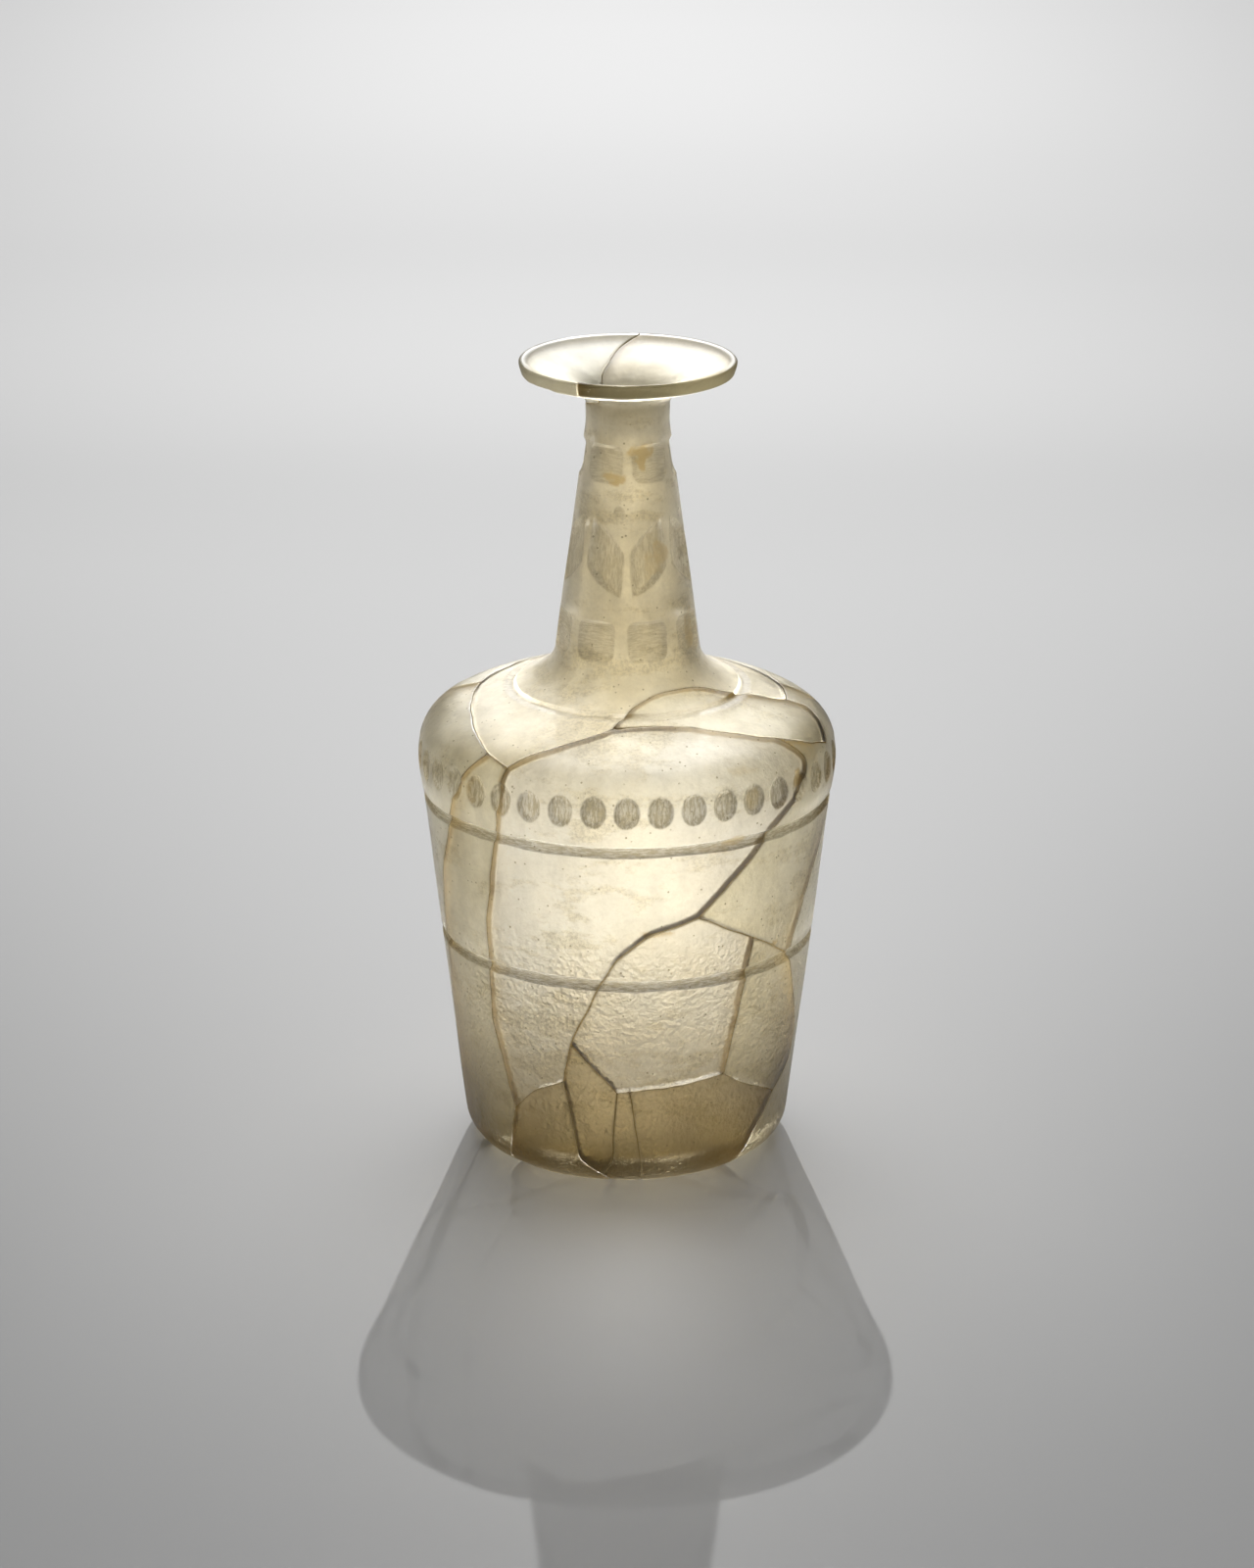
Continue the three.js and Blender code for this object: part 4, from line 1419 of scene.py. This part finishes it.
@dataclass(frozen=True)
class Weathering:
    """Weathered glass: clouds, wiped streaks, pits, smears, brown depth and ground cuts, with painted shade on
    the shoulder's top and at the front of the throat under the lip.

    The node group gives out colour, roughness and normal. A noise is a scale, a detail and a roughness.
    A range is the two values between which an effect goes from nothing to full, and where it goes between
    other strengths, they follow. Places are in metres. A dye multiplies the colour of the glass.
    """

    upright_stretch: Numbers = (1.0, 1.0, 0.2)
    level_stretch: Numbers = (0.25, 0.25, 2.0)
    smear_stretch: Numbers = (0.6, 0.6, 1.5)
    cloud_noise: Numbers = (62.0, 6.0, 0.62)
    fine_noise: Numbers = (420.0, 4.0, 0.6)
    streak_noise: Numbers = (210.0, 4.0, 0.6)
    pebble_noise: Numbers = (800.0, 2.0, 0.5)
    cluster_noise: Numbers = (210.0, 2.0, 0.5)
    smear_noise: Numbers = (75.0, 7.0, 0.68)
    grit_noise: Numbers = (1300.0, 3.0, 0.7)
    patch_noise: Numbers = (130.0, 5.0, 0.7)
    grain_noise: Numbers = (1900.0, 3.0, 0.7)
    cloud_range: Numbers = (0.38, 0.62)
    texture_share: float = 0.5
    texture_shade: Numbers = (0.36, 0.64, 0.87, 1.05)
    grit_shade: Numbers = (0.38, 0.6, 0.95, 1.03)
    speck_scale: float = 480.0
    speck_size: Numbers = (0.15, 0.09)
    speck_cluster: Numbers = (0.47, 0.53)
    speck_strength: float = 0.85
    speck_colour: Numbers = (0.2, 0.16, 0.08)
    smear_range: Numbers = (0.5, 0.4)
    smear_dye: Numbers = (0.82, 0.79, 0.71)
    smear_shade: Numbers = (0.38, 0.6, 0.78, 1.08)
    # Painted shade: darkens the top of the shoulder, least where it is cloudy and most toward its sides.
    shoulder_shade_foot: Numbers = (0.085, 0.1)
    shoulder_shade_top: Numbers = (0.112, 0.107)
    shoulder_shade_clouds: Numbers = (0.0, 1.0, 1.0, 0.6)
    shoulder_shade_right: Numbers = (0.008, 0.034)
    shoulder_shade_left: Numbers = (-0.03, -0.05, 0.0, 0.7)
    shoulder_shade_sides: Numbers = (0.0, 1.0, 0.3, 1.5)
    shoulder_shade_dye: Numbers = (0.7, 0.68, 0.61)
    patch_range: Numbers = (0.5, 0.75)
    patch_strength: float = 0.35
    depth_everywhere: float = 0.12
    heel_range: Numbers = (0.04, 0.004)
    # Painted shade under the lip, at the front of the throat, browned with the lip.
    throat_shade_foot: Numbers = (0.1655, 0.1695)
    throat_shade_top: Numbers = (0.1785, 0.176)
    throat_shade_front: Numbers = (-0.003, -0.012)
    throat_shade_strength: float = 0.6
    brim_foot: Numbers = (0.1785, 0.1805)
    brim_back: Numbers = (-0.012, 0.0, 1.0, 0.25)
    brim_roughness: float = 0.3
    warm_range: Numbers = (0.055, 0.015)
    warm_dye: Numbers = (1.0, 0.96, 0.86)
    funnel_foot: Numbers = (0.168, 0.174)
    funnel_top: Numbers = (0.181, 0.178)
    funnel_dye: Numbers = (0.7, 0.685, 0.63)
    scored_range: Numbers = (0.6, 0.42, 0.25, 1.0)
    scored_dye: Numbers = (0.46, 0.415, 0.3)
    amber_range: Numbers = (0.3, 0.55, 0.4, 0.9)
    amber_colour: Numbers = (0.5, 0.35, 0.12)
    broken_strength: float = 0.9
    broken_colour: Numbers = (0.3, 0.235, 0.12)
    broken_roughness: Numbers = (0.8, 1.0, 0.0, 2.0)
    cloud_roughness: float = 0.1
    ground_roughness: float = 0.35
    pebbly_range: Numbers = (0.066, 0.05, 0.0, 2.4)
    pebbly_everywhere: float = 0.5
    fine_relief: float = 0.5
    pebble_relief: float = 1.4
    speck_relief: float = 0.3
    scored_relief: float = 0.5
    bump_strength: float = 0.6
    bump_distance: float = 0.00025

    def group(self) -> bpy.types.NodeTree:
        """Builds the node group.

        Returns:
            A group with the colours and strengths of one glass as inputs.
        """
        tree = bpy.data.node_groups.new("weathering", "ShaderNodeTree")
        sockets = [("INPUT", "Color", ("Clear", "Bloom", "Brown")),
                   ("INPUT", "Float", ("Depth", "Heel", "Lip", "Smoothness")),
                   ("OUTPUT", "Color", ("Colour",)), ("OUTPUT", "Float", ("Roughness",)),
                   ("OUTPUT", "Vector", ("Normal",))]
        for way, kind, names in sockets:
            for name in names:
                tree.interface.new_socket(name, in_out=way, socket_type=f"NodeSocket{kind}")
        n = Nodes(tree)
        given = n.add("NodeGroupInput").outputs
        place = n.add("TexCoord").outputs["Object"]
        at = n.add("SeparateXYZ", {0: place}).outputs
        masks = {name: n.mask(name) for name in ("outer", "ground", "broken", "amber", "upright")}
        masks["clouds"] = n.ramp(n.noise(place, *self.cloud_noise), *self.cloud_range)
        masks["fine"] = n.noise(place, *self.fine_noise)
        dots = n.add("TexVoronoi", {"Vector": place, "Scale": self.speck_scale}).outputs["Distance"]
        some = n.ramp(n.noise(place, *self.cluster_noise), *self.speck_cluster)
        masks["specks"] = n.times(n.ramp(dots, *self.speck_size), some, masks["outer"])
        masks["scored"] = self._scored(n, place, masks)
        inner_brim = n.math("MAXIMUM", masks["outer"], n.ramp(at["Y"], *self.brim_back))
        masks["brim"] = n.times(n.ramp(at["Z"], *self.brim_foot), inner_brim)
        # Painted shade under the lip: a band at the front of the throat.
        throat = n.times(n.ramp(at["Z"], *self.throat_shade_foot), n.ramp(at["Z"], *self.throat_shade_top))
        masks["throat"] = n.times(throat, n.ramp(at["Y"], *self.throat_shade_front), self.throat_shade_strength)
        colour = self._dirty(n, place, at, given, masks)
        colour = self._stained(n, place, at, given, masks, colour)
        n.add("NodeGroupOutput", {"Colour": colour, "Roughness": self._roughness(n, given, masks),
                                  "Normal": self._normal(n, place, at, masks)})
        return tree

    def _scored(self, n: Nodes, place: Socket, masks: Sockets) -> Socket:
        """The lines that the wheel left in the cuts, up and down or level.

        Args:
            n: The group's nodes.
            place: The Object coordinates.
            masks: The masks and patterns, by name.

        Returns:
            How strong they are.
        """
        upright, level = (n.noise(n.stretch(place, way), *self.grain_noise)
                          for way in (self.upright_stretch, self.level_stretch))
        grain = n.blend(masks["upright"], level, upright)
        return n.times(masks["ground"], n.ramp(grain, *self.scored_range))

    def _dirty(self, n: Nodes, place: Socket, at: Sockets, given: Sockets, masks: Sockets) -> Socket:
        """The colour of the cloudy glass, with the streaks and smears that lie on it, and painted shade on the
        top of the shoulder.

        Args:
            n: The group's nodes.
            place: The Object coordinates.
            at: Their three numbers.
            given: The group's inputs.
            masks: The masks and patterns, by name.

        Returns:
            The colour.
        """
        clouds, outer = masks["clouds"], masks["outer"]
        colour = n.blend(clouds, given["Clear"], given["Bloom"])
        streaks = n.noise(n.stretch(place, self.upright_stretch), *self.streak_noise)
        texture = n.plus(n.times(streaks, self.texture_share), n.times(masks["fine"], self.texture_share))
        colour = n.shade(colour, n.ramp(texture, *self.texture_shade))
        smears = n.noise(n.stretch(place, self.smear_stretch), *self.smear_noise)
        smears = n.times(n.ramp(smears, *self.smear_range), outer)
        grit = n.noise(place, *self.grit_noise)
        grimy = n.shade(n.dye(1.0, colour, self.smear_dye), n.ramp(grit, *self.smear_shade))
        colour = n.blend(smears, colour, grimy)
        # Painted shade on the top of the shoulder, least where it is cloudy and most toward the sides.
        shoulder_shade = n.times(n.ramp(at["Z"], *self.shoulder_shade_foot), n.ramp(at["Z"], *self.shoulder_shade_top), outer)
        shoulder_shade = n.times(shoulder_shade, n.ramp(clouds, *self.shoulder_shade_clouds))
        aside = n.math("MAXIMUM", n.ramp(at["X"], *self.shoulder_shade_right), n.ramp(at["X"], *self.shoulder_shade_left))
        shoulder_shade = n.times(shoulder_shade, n.ramp(aside, *self.shoulder_shade_sides), clamp=True)
        return n.shade(n.dye(shoulder_shade, colour, self.shoulder_shade_dye), n.ramp(grit, *self.grit_shade))

    def _stained(self, n: Nodes, place: Socket, at: Sockets, given: Sockets, masks: Sockets,
                 colour: Socket) -> Socket:
        """The colour with its brown depth and the painted shade under the lip, then cuts, specks, amber and
        broken edges.

        Args:
            n: The group's nodes.
            place: The Object coordinates.
            at: Their three numbers.
            given: The group's inputs.
            masks: The masks and patterns, by name.
            colour: The colour so far.

        Returns:
            The whole colour.
        """
        patchy = n.ramp(n.noise(place, *self.patch_noise), *self.patch_range)
        heel = n.times(n.ramp(at["Z"], *self.heel_range), given["Heel"])
        # The lip's brown, and the painted shade under the lip at the front of the throat.
        lip = n.times(n.plus(masks["brim"], masks["throat"]), given["Lip"])
        spread = n.plus(n.times(patchy, self.patch_strength), self.depth_everywhere)
        brown = n.plus(n.plus(heel, lip), n.times(spread, given["Depth"]), clamp=True)
        colour = n.dye(n.ramp(at["Z"], *self.warm_range), colour, self.warm_dye)
        funnel = n.times(n.ramp(at["Z"], *self.funnel_foot), n.ramp(at["Z"], *self.funnel_top))
        colour = n.dye(funnel, colour, self.funnel_dye)
        colour = n.blend(brown, colour, given["Brown"])
        colour = n.dye(masks["scored"], colour, self.scored_dye)
        amber = n.times(masks["amber"], n.ramp(masks["fine"], *self.amber_range))
        for share, over in ((n.times(masks["specks"], self.speck_strength), self.speck_colour),
                            (amber, self.amber_colour),
                            (n.times(masks["broken"], self.broken_strength), self.broken_colour)):
            colour = n.blend(share, colour, rgba(*over))
        return colour

    def _roughness(self, n: Nodes, given: Sockets, masks: Sockets) -> Socket:
        """The roughness: more where the glass is clouded, cut or broken, and at the lip.

        Args:
            n: The group's nodes.
            given: The group's inputs.
            masks: The masks and patterns, by name.

        Returns:
            The roughness.
        """
        rough = n.plus(given["Smoothness"], n.times(masks["clouds"], self.cloud_roughness))
        rough = n.plus(rough, n.math("MAXIMUM", n.times(masks["brim"], self.brim_roughness), masks["throat"]))
        matt = n.math("MAXIMUM", masks["ground"], n.ramp(masks["broken"], *self.broken_roughness))
        return n.plus(rough, n.times(matt, self.ground_roughness), clamp=True)

    def _normal(self, n: Nodes, place: Socket, at: Sockets, masks: Sockets) -> Socket:
        """The relief of pits and of the lines in the cuts, and the pebbled wall above the heel.

        Args:
            n: The group's nodes.
            place: The Object coordinates.
            at: Their three numbers.
            masks: The masks and patterns, by name.

        Returns:
            The normal.
        """
        pebbles = n.plus(n.ramp(at["Z"], *self.pebbly_range), self.pebbly_everywhere)
        pebbles = n.times(n.noise(place, *self.pebble_noise), pebbles)
        relief = n.plus(n.times(masks["fine"], self.fine_relief), n.times(pebbles, self.pebble_relief))
        relief = n.math("SUBTRACT", relief, n.times(masks["specks"], self.speck_relief))
        relief = n.math("SUBTRACT", relief, n.times(masks["scored"], self.scored_relief))
        bump = {"Strength": self.bump_strength, "Distance": self.bump_distance,
                "Height": n.times(relief, masks["outer"])}
        return n.add("Bump", bump).outputs[0]


@dataclass(frozen=True)
class Glass:
    """Weathered glass: part clear, part milky, and it lets lamps through as the real one does.

    The clear, bloom and brown colours are those of clean glass, of its clouds and of its thick parts.
    Depth, heel and lip say how brown it is in patches, at the heel and at the lip, and lip also how dark the
    painted shade under the lip is. Milk is the share that scatters light. Passes says how much light a shadow
    ray keeps, and passes within that of a ray that has already gone through glass.
    """

    clear: Numbers
    bloom: Numbers
    brown: Numbers
    depth: float
    heel: float
    lip: float
    smoothness: float
    milk: float = 0.1
    passes: float = 0.45
    passes_within: float = 0.9
    transmission: ClassVar[float] = 0.95
    index: ClassVar[float] = 1.5
    glued_range: ClassVar[Numbers] = (0.95, 0.99, 1.0, 0.0)
    edge_range: ClassVar[Numbers] = (0.99, 0.7)
    foot_range: ClassVar[Numbers] = (0.004, 0.036)
    foot_share: ClassVar[float] = 0.15

    def material(self, name: str, group: bpy.types.NodeTree) -> bpy.types.Material:
        """Builds the material.

        A face that is glued to its neighbour has no surface of its own, so its alpha is zero there.

        Args:
            name: Its name.
            group: The weathering group.

        Returns:
            The material.
        """
        made = bpy.data.materials.new(name)
        made.use_nodes = True
        made.node_tree.nodes.clear()
        n = Nodes(made.node_tree)
        inputs = {"Clear": rgba(*self.clear), "Bloom": rgba(*self.bloom), "Brown": rgba(*self.brown),
                  "Depth": self.depth, "Heel": self.heel, "Lip": self.lip, "Smoothness": self.smoothness}
        worn = n.add("Group", node_tree=group)
        n.set(worn, inputs)
        colour, rough, normal = (worn.outputs[k] for k in ("Colour", "Roughness", "Normal"))
        broken = n.mask("broken")
        glass = n.add("BsdfPrincipled", {
            "Base Color": colour, "Roughness": rough, "Normal": normal, "IOR": self.index,
            "Alpha": n.ramp(broken, *self.glued_range), "Transmission Weight": self.transmission})
        milk = n.add("BsdfTranslucent", {"Color": colour, "Normal": normal})
        body = n.add("MixShader", {0: self.milk, 1: glass.outputs[0], 2: milk.outputs[0]})
        shade = n.times(n.mask("outer"), n.ramp(broken, *self.edge_range))
        ray = n.add("LightPath").outputs
        height = n.add("SeparateXYZ", {0: n.add("TexCoord").outputs["Object"]}).outputs["Z"]
        within = n.ramp(height, *self.foot_range, self.passes_within * self.foot_share, self.passes_within)
        passes = n.ramp(ray["Transmission Depth"], 0.0, 1.0, self.passes, within)
        through = n.add("BsdfTransparent", {"Color": n.blend(shade, rgba(1.0, 1.0, 1.0), n.grey(passes))})
        whole = n.add("MixShader", {0: ray["Is Shadow Ray"], 1: body.outputs[0], 2: through.outputs[0]})
        n.add("OutputMaterial", {"Surface": whole.outputs[0]})
        return made


CLEAR_GLASS = Glass((0.83, 0.78, 0.625), (0.935, 0.89, 0.75), (0.27, 0.21, 0.085), 0.15, 0.9, 0.6, 0.28)
GLASSES: dict[Finish, Glass] = {
    Finish.NECK: Glass((0.8, 0.73, 0.56), (0.91, 0.845, 0.685), (0.095, 0.073, 0.026), 0.07, 0.8, 1.0, 0.28),
    Finish.RIM: Glass((0.5, 0.47, 0.37), (0.61, 0.58, 0.47), (0.15, 0.12, 0.052), 0.1, 0.9, 0.9, 0.28),
    Finish.CLEAR: CLEAR_GLASS,
    Finish.SHOULDER: CLEAR_GLASS,
    Finish.PALE: Glass((0.94, 0.91, 0.85), (0.99, 0.975, 0.935), (0.27, 0.21, 0.085), 0.06, 0.9, 0.5, 0.28),
    Finish.BASE: Glass((0.8, 0.73, 0.57), (0.88, 0.81, 0.66), (0.31, 0.235, 0.1), 0.15, 0.95, 0.5, 0.3,
                       0.14, 0.4, 0.5),
    Finish.JOIN: Glass((0.5, 0.415, 0.25), (0.57, 0.485, 0.31), (0.3, 0.24, 0.11), 0.3, 0.5, 0.5, 0.5,
                       1.0, 0.85),
}


# Floor, light and camera.


@dataclass(frozen=True)
class Lamp:
    """A lamp that faces a point: a soft-edged cone, or a square where the cone has no angle.

    The size is the radius of the bulb or the square's side, and the cone is its whole angle in degrees.
    The power is in watts, for a cone that of a lamp which shines all round.
    """

    name: str
    place: Numbers
    target: Numbers
    power: float
    size: float
    cone: float = 0.0

    def add(self) -> None:
        """Puts the lamp in the scene, unseen by the camera."""
        data = bpy.data.lights.new(self.name, "SPOT" if self.cone else "AREA")
        data.energy = self.power
        if self.cone:
            data.shadow_soft_size, data.spot_size, data.spot_blend = self.size, math.radians(self.cone), 1.0
        else:
            data.size = self.size
        lamp = bpy.data.objects.new(self.name, data)
        lamp.location = self.place
        lamp.rotation_euler = (Vector(self.target) - Vector(self.place)).to_track_quat("-Z", "Y").to_euler()
        lamp.visible_camera = False
        bpy.context.scene.collection.objects.link(lamp)


@dataclass(frozen=True)
class Studio:
    """The floor, the lamps and the camera.

    Each of the floor's tones is a place along Y, a grey, and how fast the paper darkens to both sides. The
    grading is painted light and shade: it paints the fall of the light over the floor.
    Places are in metres.
    """

    floor_half: float = 3.0
    # Painted light and shade: the paper's grey follows the fall of the light along Y and to the sides.
    floor_painted_tones: tuple[tuple[float, float, float], ...] = (
        (-0.21, 0.35, 3), (-0.1, 0.435, 17), (0.0, 0.45, 15), (0.17, 0.45, 12), (0.43, 0.375, 2),
        (0.61, 0.388, 1), (0.83, 0.578, 6), (1.1, 0.646, 13), (1.38, 0.68, 17))
    floor_falloff: float = 20.0
    falloff_most: float = 0.08
    falloff_origin: float = 1.25
    floor_roughness: float = 0.55
    floor_shine: float = 0.15
    light_colour: Numbers = (1.0, 0.97, 0.92)
    fill_aside: Numbers = (0.32, 1.1, 0.0, 0.34)
    fill_ahead: Numbers = (-0.22, -0.9, 0.0, 0.42)
    # A painted pool of light: emission on the paper behind the bottle, seen only through the glass.
    glow_place: tuple[float, float] = (0.008, 0.2)
    glow_reach: tuple[float, float] = (0.034, 0.62)
    glow_wedge: tuple[float, float] = (1.6, 0.88)
    glow_start: Numbers = (0.03, 0.1)
    glow_base: float = 0.37
    glow_strength: float = 3.35
    lamps: tuple[Lamp, ...] = (
        Lamp("back_lamp", (0.0, 0.726, 0.62), (0.0, 0.0, 0.02), 18.0, 0.003, 140.0),
        Lamp("soft_box", (0.0, 0.5, 1.4), (0.0, 0.5, 0.0), 8.5, 1.0),
        Lamp("backdrop_lamp", (0.0, 1.45, 1.1), (0.0, 1.45, 0.0), 20.0, 1.4),
    )
    sky_light: float = 0.05
    sky_seen: float = 0.6
    camera_place: Numbers = (0.0, -1.1, 0.46076)
    camera_pitch: float = 18.91
    camera_roll: float = 0.15
    focal_length: float = 117.75
    sensor_width: float = 36.0

    def build(self) -> None:
        """Sets everything up: a small lamp high behind the bottle, and two wide soft ones over the floor."""
        self._floor()
        for lamp in self.lamps:
            lamp.add()
        self._sky()
        self._camera()
        bpy.context.scene.view_settings.view_transform = "Standard"

    def _floor(self) -> None:
        """A wide pale floor."""
        half = self.floor_half
        points = half * np.array([[-1, -1, 0], [1, -1, 0], [1, 2, 0], [-1, 2, 0]]) / MM
        floor = write_mesh("floor_sheet", points, np.array([[0, 1, 2], [0, 2, 3]]), {})
        floor.data.materials.append(self._paper())

    def _paper(self) -> bpy.types.Material:
        """Grey paper with painted light and shade: graded along Y and a little darker to both sides.

        A tone is divided by one plus its falloff times the square of x / (y + origin), up to a limit.

        Returns:
            The material.
        """
        made = bpy.data.materials.new("floor_paper")
        made.use_nodes = True
        n = Nodes(made.node_tree)
        place = n.add("SeparateXYZ", {0: n.add("TexCoord").outputs["Object"]}).outputs
        low, high = self.floor_painted_tones[0][0], self.floor_painted_tones[-1][0]
        share = n.add("MapRange", {"Value": place["Y"], "From Min": low, "From Max": high}).outputs[0]
        ramp = n.add("ValToRGB", {0: share})
        ramp.color_ramp.interpolation = "CARDINAL"
        stops = ramp.color_ramp.elements
        for _ in range(len(self.floor_painted_tones) - len(stops)):
            stops.new(0.5)
        for stop, (y, tone, falloff) in zip(stops, self.floor_painted_tones):
            stop.position = (y - low) / (high - low)
            stop.color = (tone, tone, tone, falloff / self.floor_falloff)
        aside = n.math("DIVIDE", place["X"], n.plus(place["Y"], self.falloff_origin))
        off = n.math("MINIMUM", n.times(aside, aside), self.falloff_most)
        off = n.times(off, self.floor_falloff, ramp.outputs[1])
        n.set(made.node_tree.nodes["Principled BSDF"], {
            "Base Color": n.shade(ramp.outputs[0], n.math("DIVIDE", 1.0, n.plus(off, 1.0))),
            "Roughness": self.floor_roughness,
            "Specular IOR Level": self.floor_shine,
            "Emission Color": rgba(*self.light_colour),
            "Emission Strength": n.plus(self._glow(n, place), self._fill(n, place)),
        })
        return made

    def _fill(self, n: Nodes, place: Sockets) -> Socket:
        """Keeps the paper pale where the lamps don't reach it, in views from the sides and from behind.

        Args:
            n: The material's nodes.
            place: The coordinates of a point of the paper.

        Returns:
            The strength, which rises with the distance in front of the bottle or to its side, for rays
            that are seen.
        """
        aside = n.ramp(n.math("ABSOLUTE", place["X"]), *self.fill_aside)
        ray = n.add("LightPath").outputs
        seen = n.plus(ray["Is Camera Ray"], ray["Is Transmission Ray"])
        return n.times(n.math("MAXIMUM", aside, n.ramp(place["Y"], *self.fill_ahead)), seen)

    def _glow(self, n: Nodes, place: Sockets) -> Socket:
        """A painted pool of light on the paper close behind the bottle, seen through the glass alone.

        Args:
            n: The material's nodes.
            place: The coordinates of a point of the paper.

        Returns:
            The strength: a bell curve over a wedge that narrows away from the bottle, and none under it.
        """
        across, along = (n.math("DIVIDE", n.math("SUBTRACT", place[axis], middle), reach)
                         for axis, middle, reach in zip("XY", self.glow_place, self.glow_reach))
        slope, start = self.glow_wedge
        across = n.times(across, n.plus(n.times(place["Y"], slope), start))
        bell = n.math("POWER", self.glow_base, n.plus(n.times(across, across), n.times(along, along)))
        seen = n.add("LightPath").outputs["Is Transmission Ray"]
        return n.times(bell, n.ramp(place["Y"], *self.glow_start), seen, self.glow_strength)

    def _sky(self) -> None:
        """A white sky that is dim as a light and pale where the camera sees it."""
        world = bpy.data.worlds.new("studio")
        world.use_nodes = True
        n = Nodes(world.node_tree)
        seen = n.ramp(n.add("LightPath").outputs["Is Camera Ray"], 0.0, 1.0, self.sky_light, self.sky_seen)
        n.set(world.node_tree.nodes["Background"], {"Color": rgba(1.0, 1.0, 1.0), "Strength": seen})
        bpy.context.scene.world = world

    def _camera(self) -> None:
        """The photograph's view."""
        data = bpy.data.cameras.new("camera")
        data.lens, data.sensor_width = self.focal_length, self.sensor_width
        camera = bpy.data.objects.new("camera", data)
        camera.location = self.camera_place
        turn = Euler((math.radians(90 - self.camera_pitch), 0.0, 0.0)).to_matrix()
        turn @= Matrix.Rotation(math.radians(self.camera_roll), 3, "Z")
        camera.rotation_euler = turn.to_euler()
        bpy.context.scene.collection.objects.link(camera)
        bpy.context.scene.camera = camera


# The bottle.


SHERDS: dict[str, list[Sherd]] = {
    "mouth": [
        Sherd("neck", (10, 6.3), Finish.NECK),
        Sherd("rim_left", (-90, 8.6), Finish.RIM),
    ],
    "body": [
        Sherd("shoulder_front_right", (45, 5.1), Finish.SHOULDER),
        Sherd("wall_front", (-15, 3.85), Finish.PALE),
        Sherd("wall_upper_right", (60, 3.9), Finish.CLEAR),
        Sherd("wall_left_strip", (-58, 3.5), Finish.CLEAR),
        Sherd("wall_left", (-95, 3.7), Finish.CLEAR),
        Sherd("wall_right", (100, 3.6), Finish.CLEAR),
        Sherd("wall_lower_front", (15, 3.5), Finish.PALE),
        Sherd("wall_lower_right", (55, 3.35), Finish.CLEAR),
        Sherd("heel_left", (-35, 3), Finish.BASE),
        Sherd("heel_wedge", (-12, 3.15), Finish.BASE),
        Sherd("heel_sliver", (0, 2.8), Finish.BASE),
        Sherd("heel_right", (30, 3.05), Finish.BASE),
        Sherd("wall_back_upper", (175, 4.1), Finish.CLEAR),
        Sherd("wall_back_left", (-150, 3.3), Finish.CLEAR),
        Sherd("wall_back_right", (150, 3.3), Finish.CLEAR),
    ],
    "base": [Sherd("floor", (0, 0.1), Finish.BASE)],
}

STAINS: tuple[Stain, ...] = (
    Stain(21.0, 6.93, 6.0, 3.6),
    Stain(18.0, 6.88, 3.0, 3.0),
    Stain(-17.0, 6.81, 5.4, 2.6),
    Stain(36.0, 6.48, 3.4, 6.0, 0.7),
    Stain(26.0, 6.43, 3.4, 6.0, 0.45),
    Stain(-166.0, 8.5, 11.0, 9.0, 0.35),
    Stain(11.0, 4.93, 13.0, 2.6, 0.3),
    Stain(67.0, 6.11, 4.0, 9.0, 0.7),
    Stain(31.0, 4.0, 7.0, 2.2, 0.7),
    Stain(25.0, 3.985, 7.0, 1.6, 0.4),
    Stain(54.0, 4.25, 3.4, 4.0),
    Stain(50.5, 3.633, 2.4, 1.6),
    Stain(8.0, 3.735, 7.0, 1.2, 0.8),
    Stain(-36.6, 4.4, 2.0, 3.4, 0.8),
    Stain(36.6, 4.2, 3.6, 5.0, 0.35),
    Stain(62.0, 4.38, 5.0, 9.0, 0.3),
    Stain(34.0, 4.44, 7.0, 2.0, 0.3),
    Stain(-7.7, 2.3, 3.0, 2.6, 0.8),
)


def dress(piece: bpy.types.Object, material: bpy.types.Material) -> None:
    """Gives a piece its material and its body, and reports it.

    Args:
        piece: The piece.
        material: What it is made of.
    """
    piece.data.materials.append(material)
    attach(piece, "root")
    log.info("%s: %d triangles", piece.name, len(piece.data.polygons))


def main() -> None:
    """Builds the bottle, then the studio."""
    section = Section(Outline())
    cutting = Cutting()
    network = BreakNetwork(section)
    vessel = Vessel(section, cutting, STAINS)
    zones = {
        "mouth": Zone(section, cutting, network, columns=220, low=4.3, high=10.0, spacing=0.66, fine=0.42),
        "body": Zone(section, cutting, network, columns=600, low=0.55, high=5.7, spacing=1.0, fine=0.38),
        "base": Zone(section, cutting, network, columns=120, low=0.0, high=0.95, spacing=1.0, fine=1.0),
    }
    group = Weathering().group()
    materials = {finish: glass.material(finish.value, group) for finish, glass in GLASSES.items()}
    for zone, sherds in SHERDS.items():
        for sherd in sherds:
            piece = sherd.build(vessel, zones[zone])
            dress(piece, materials[sherd.finish])
            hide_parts(sherd.name)
    films = Joins(vessel, network).build()
    dress(films, materials[Finish.JOIN])
    Studio().build()


if __name__ == "__main__":
    main()
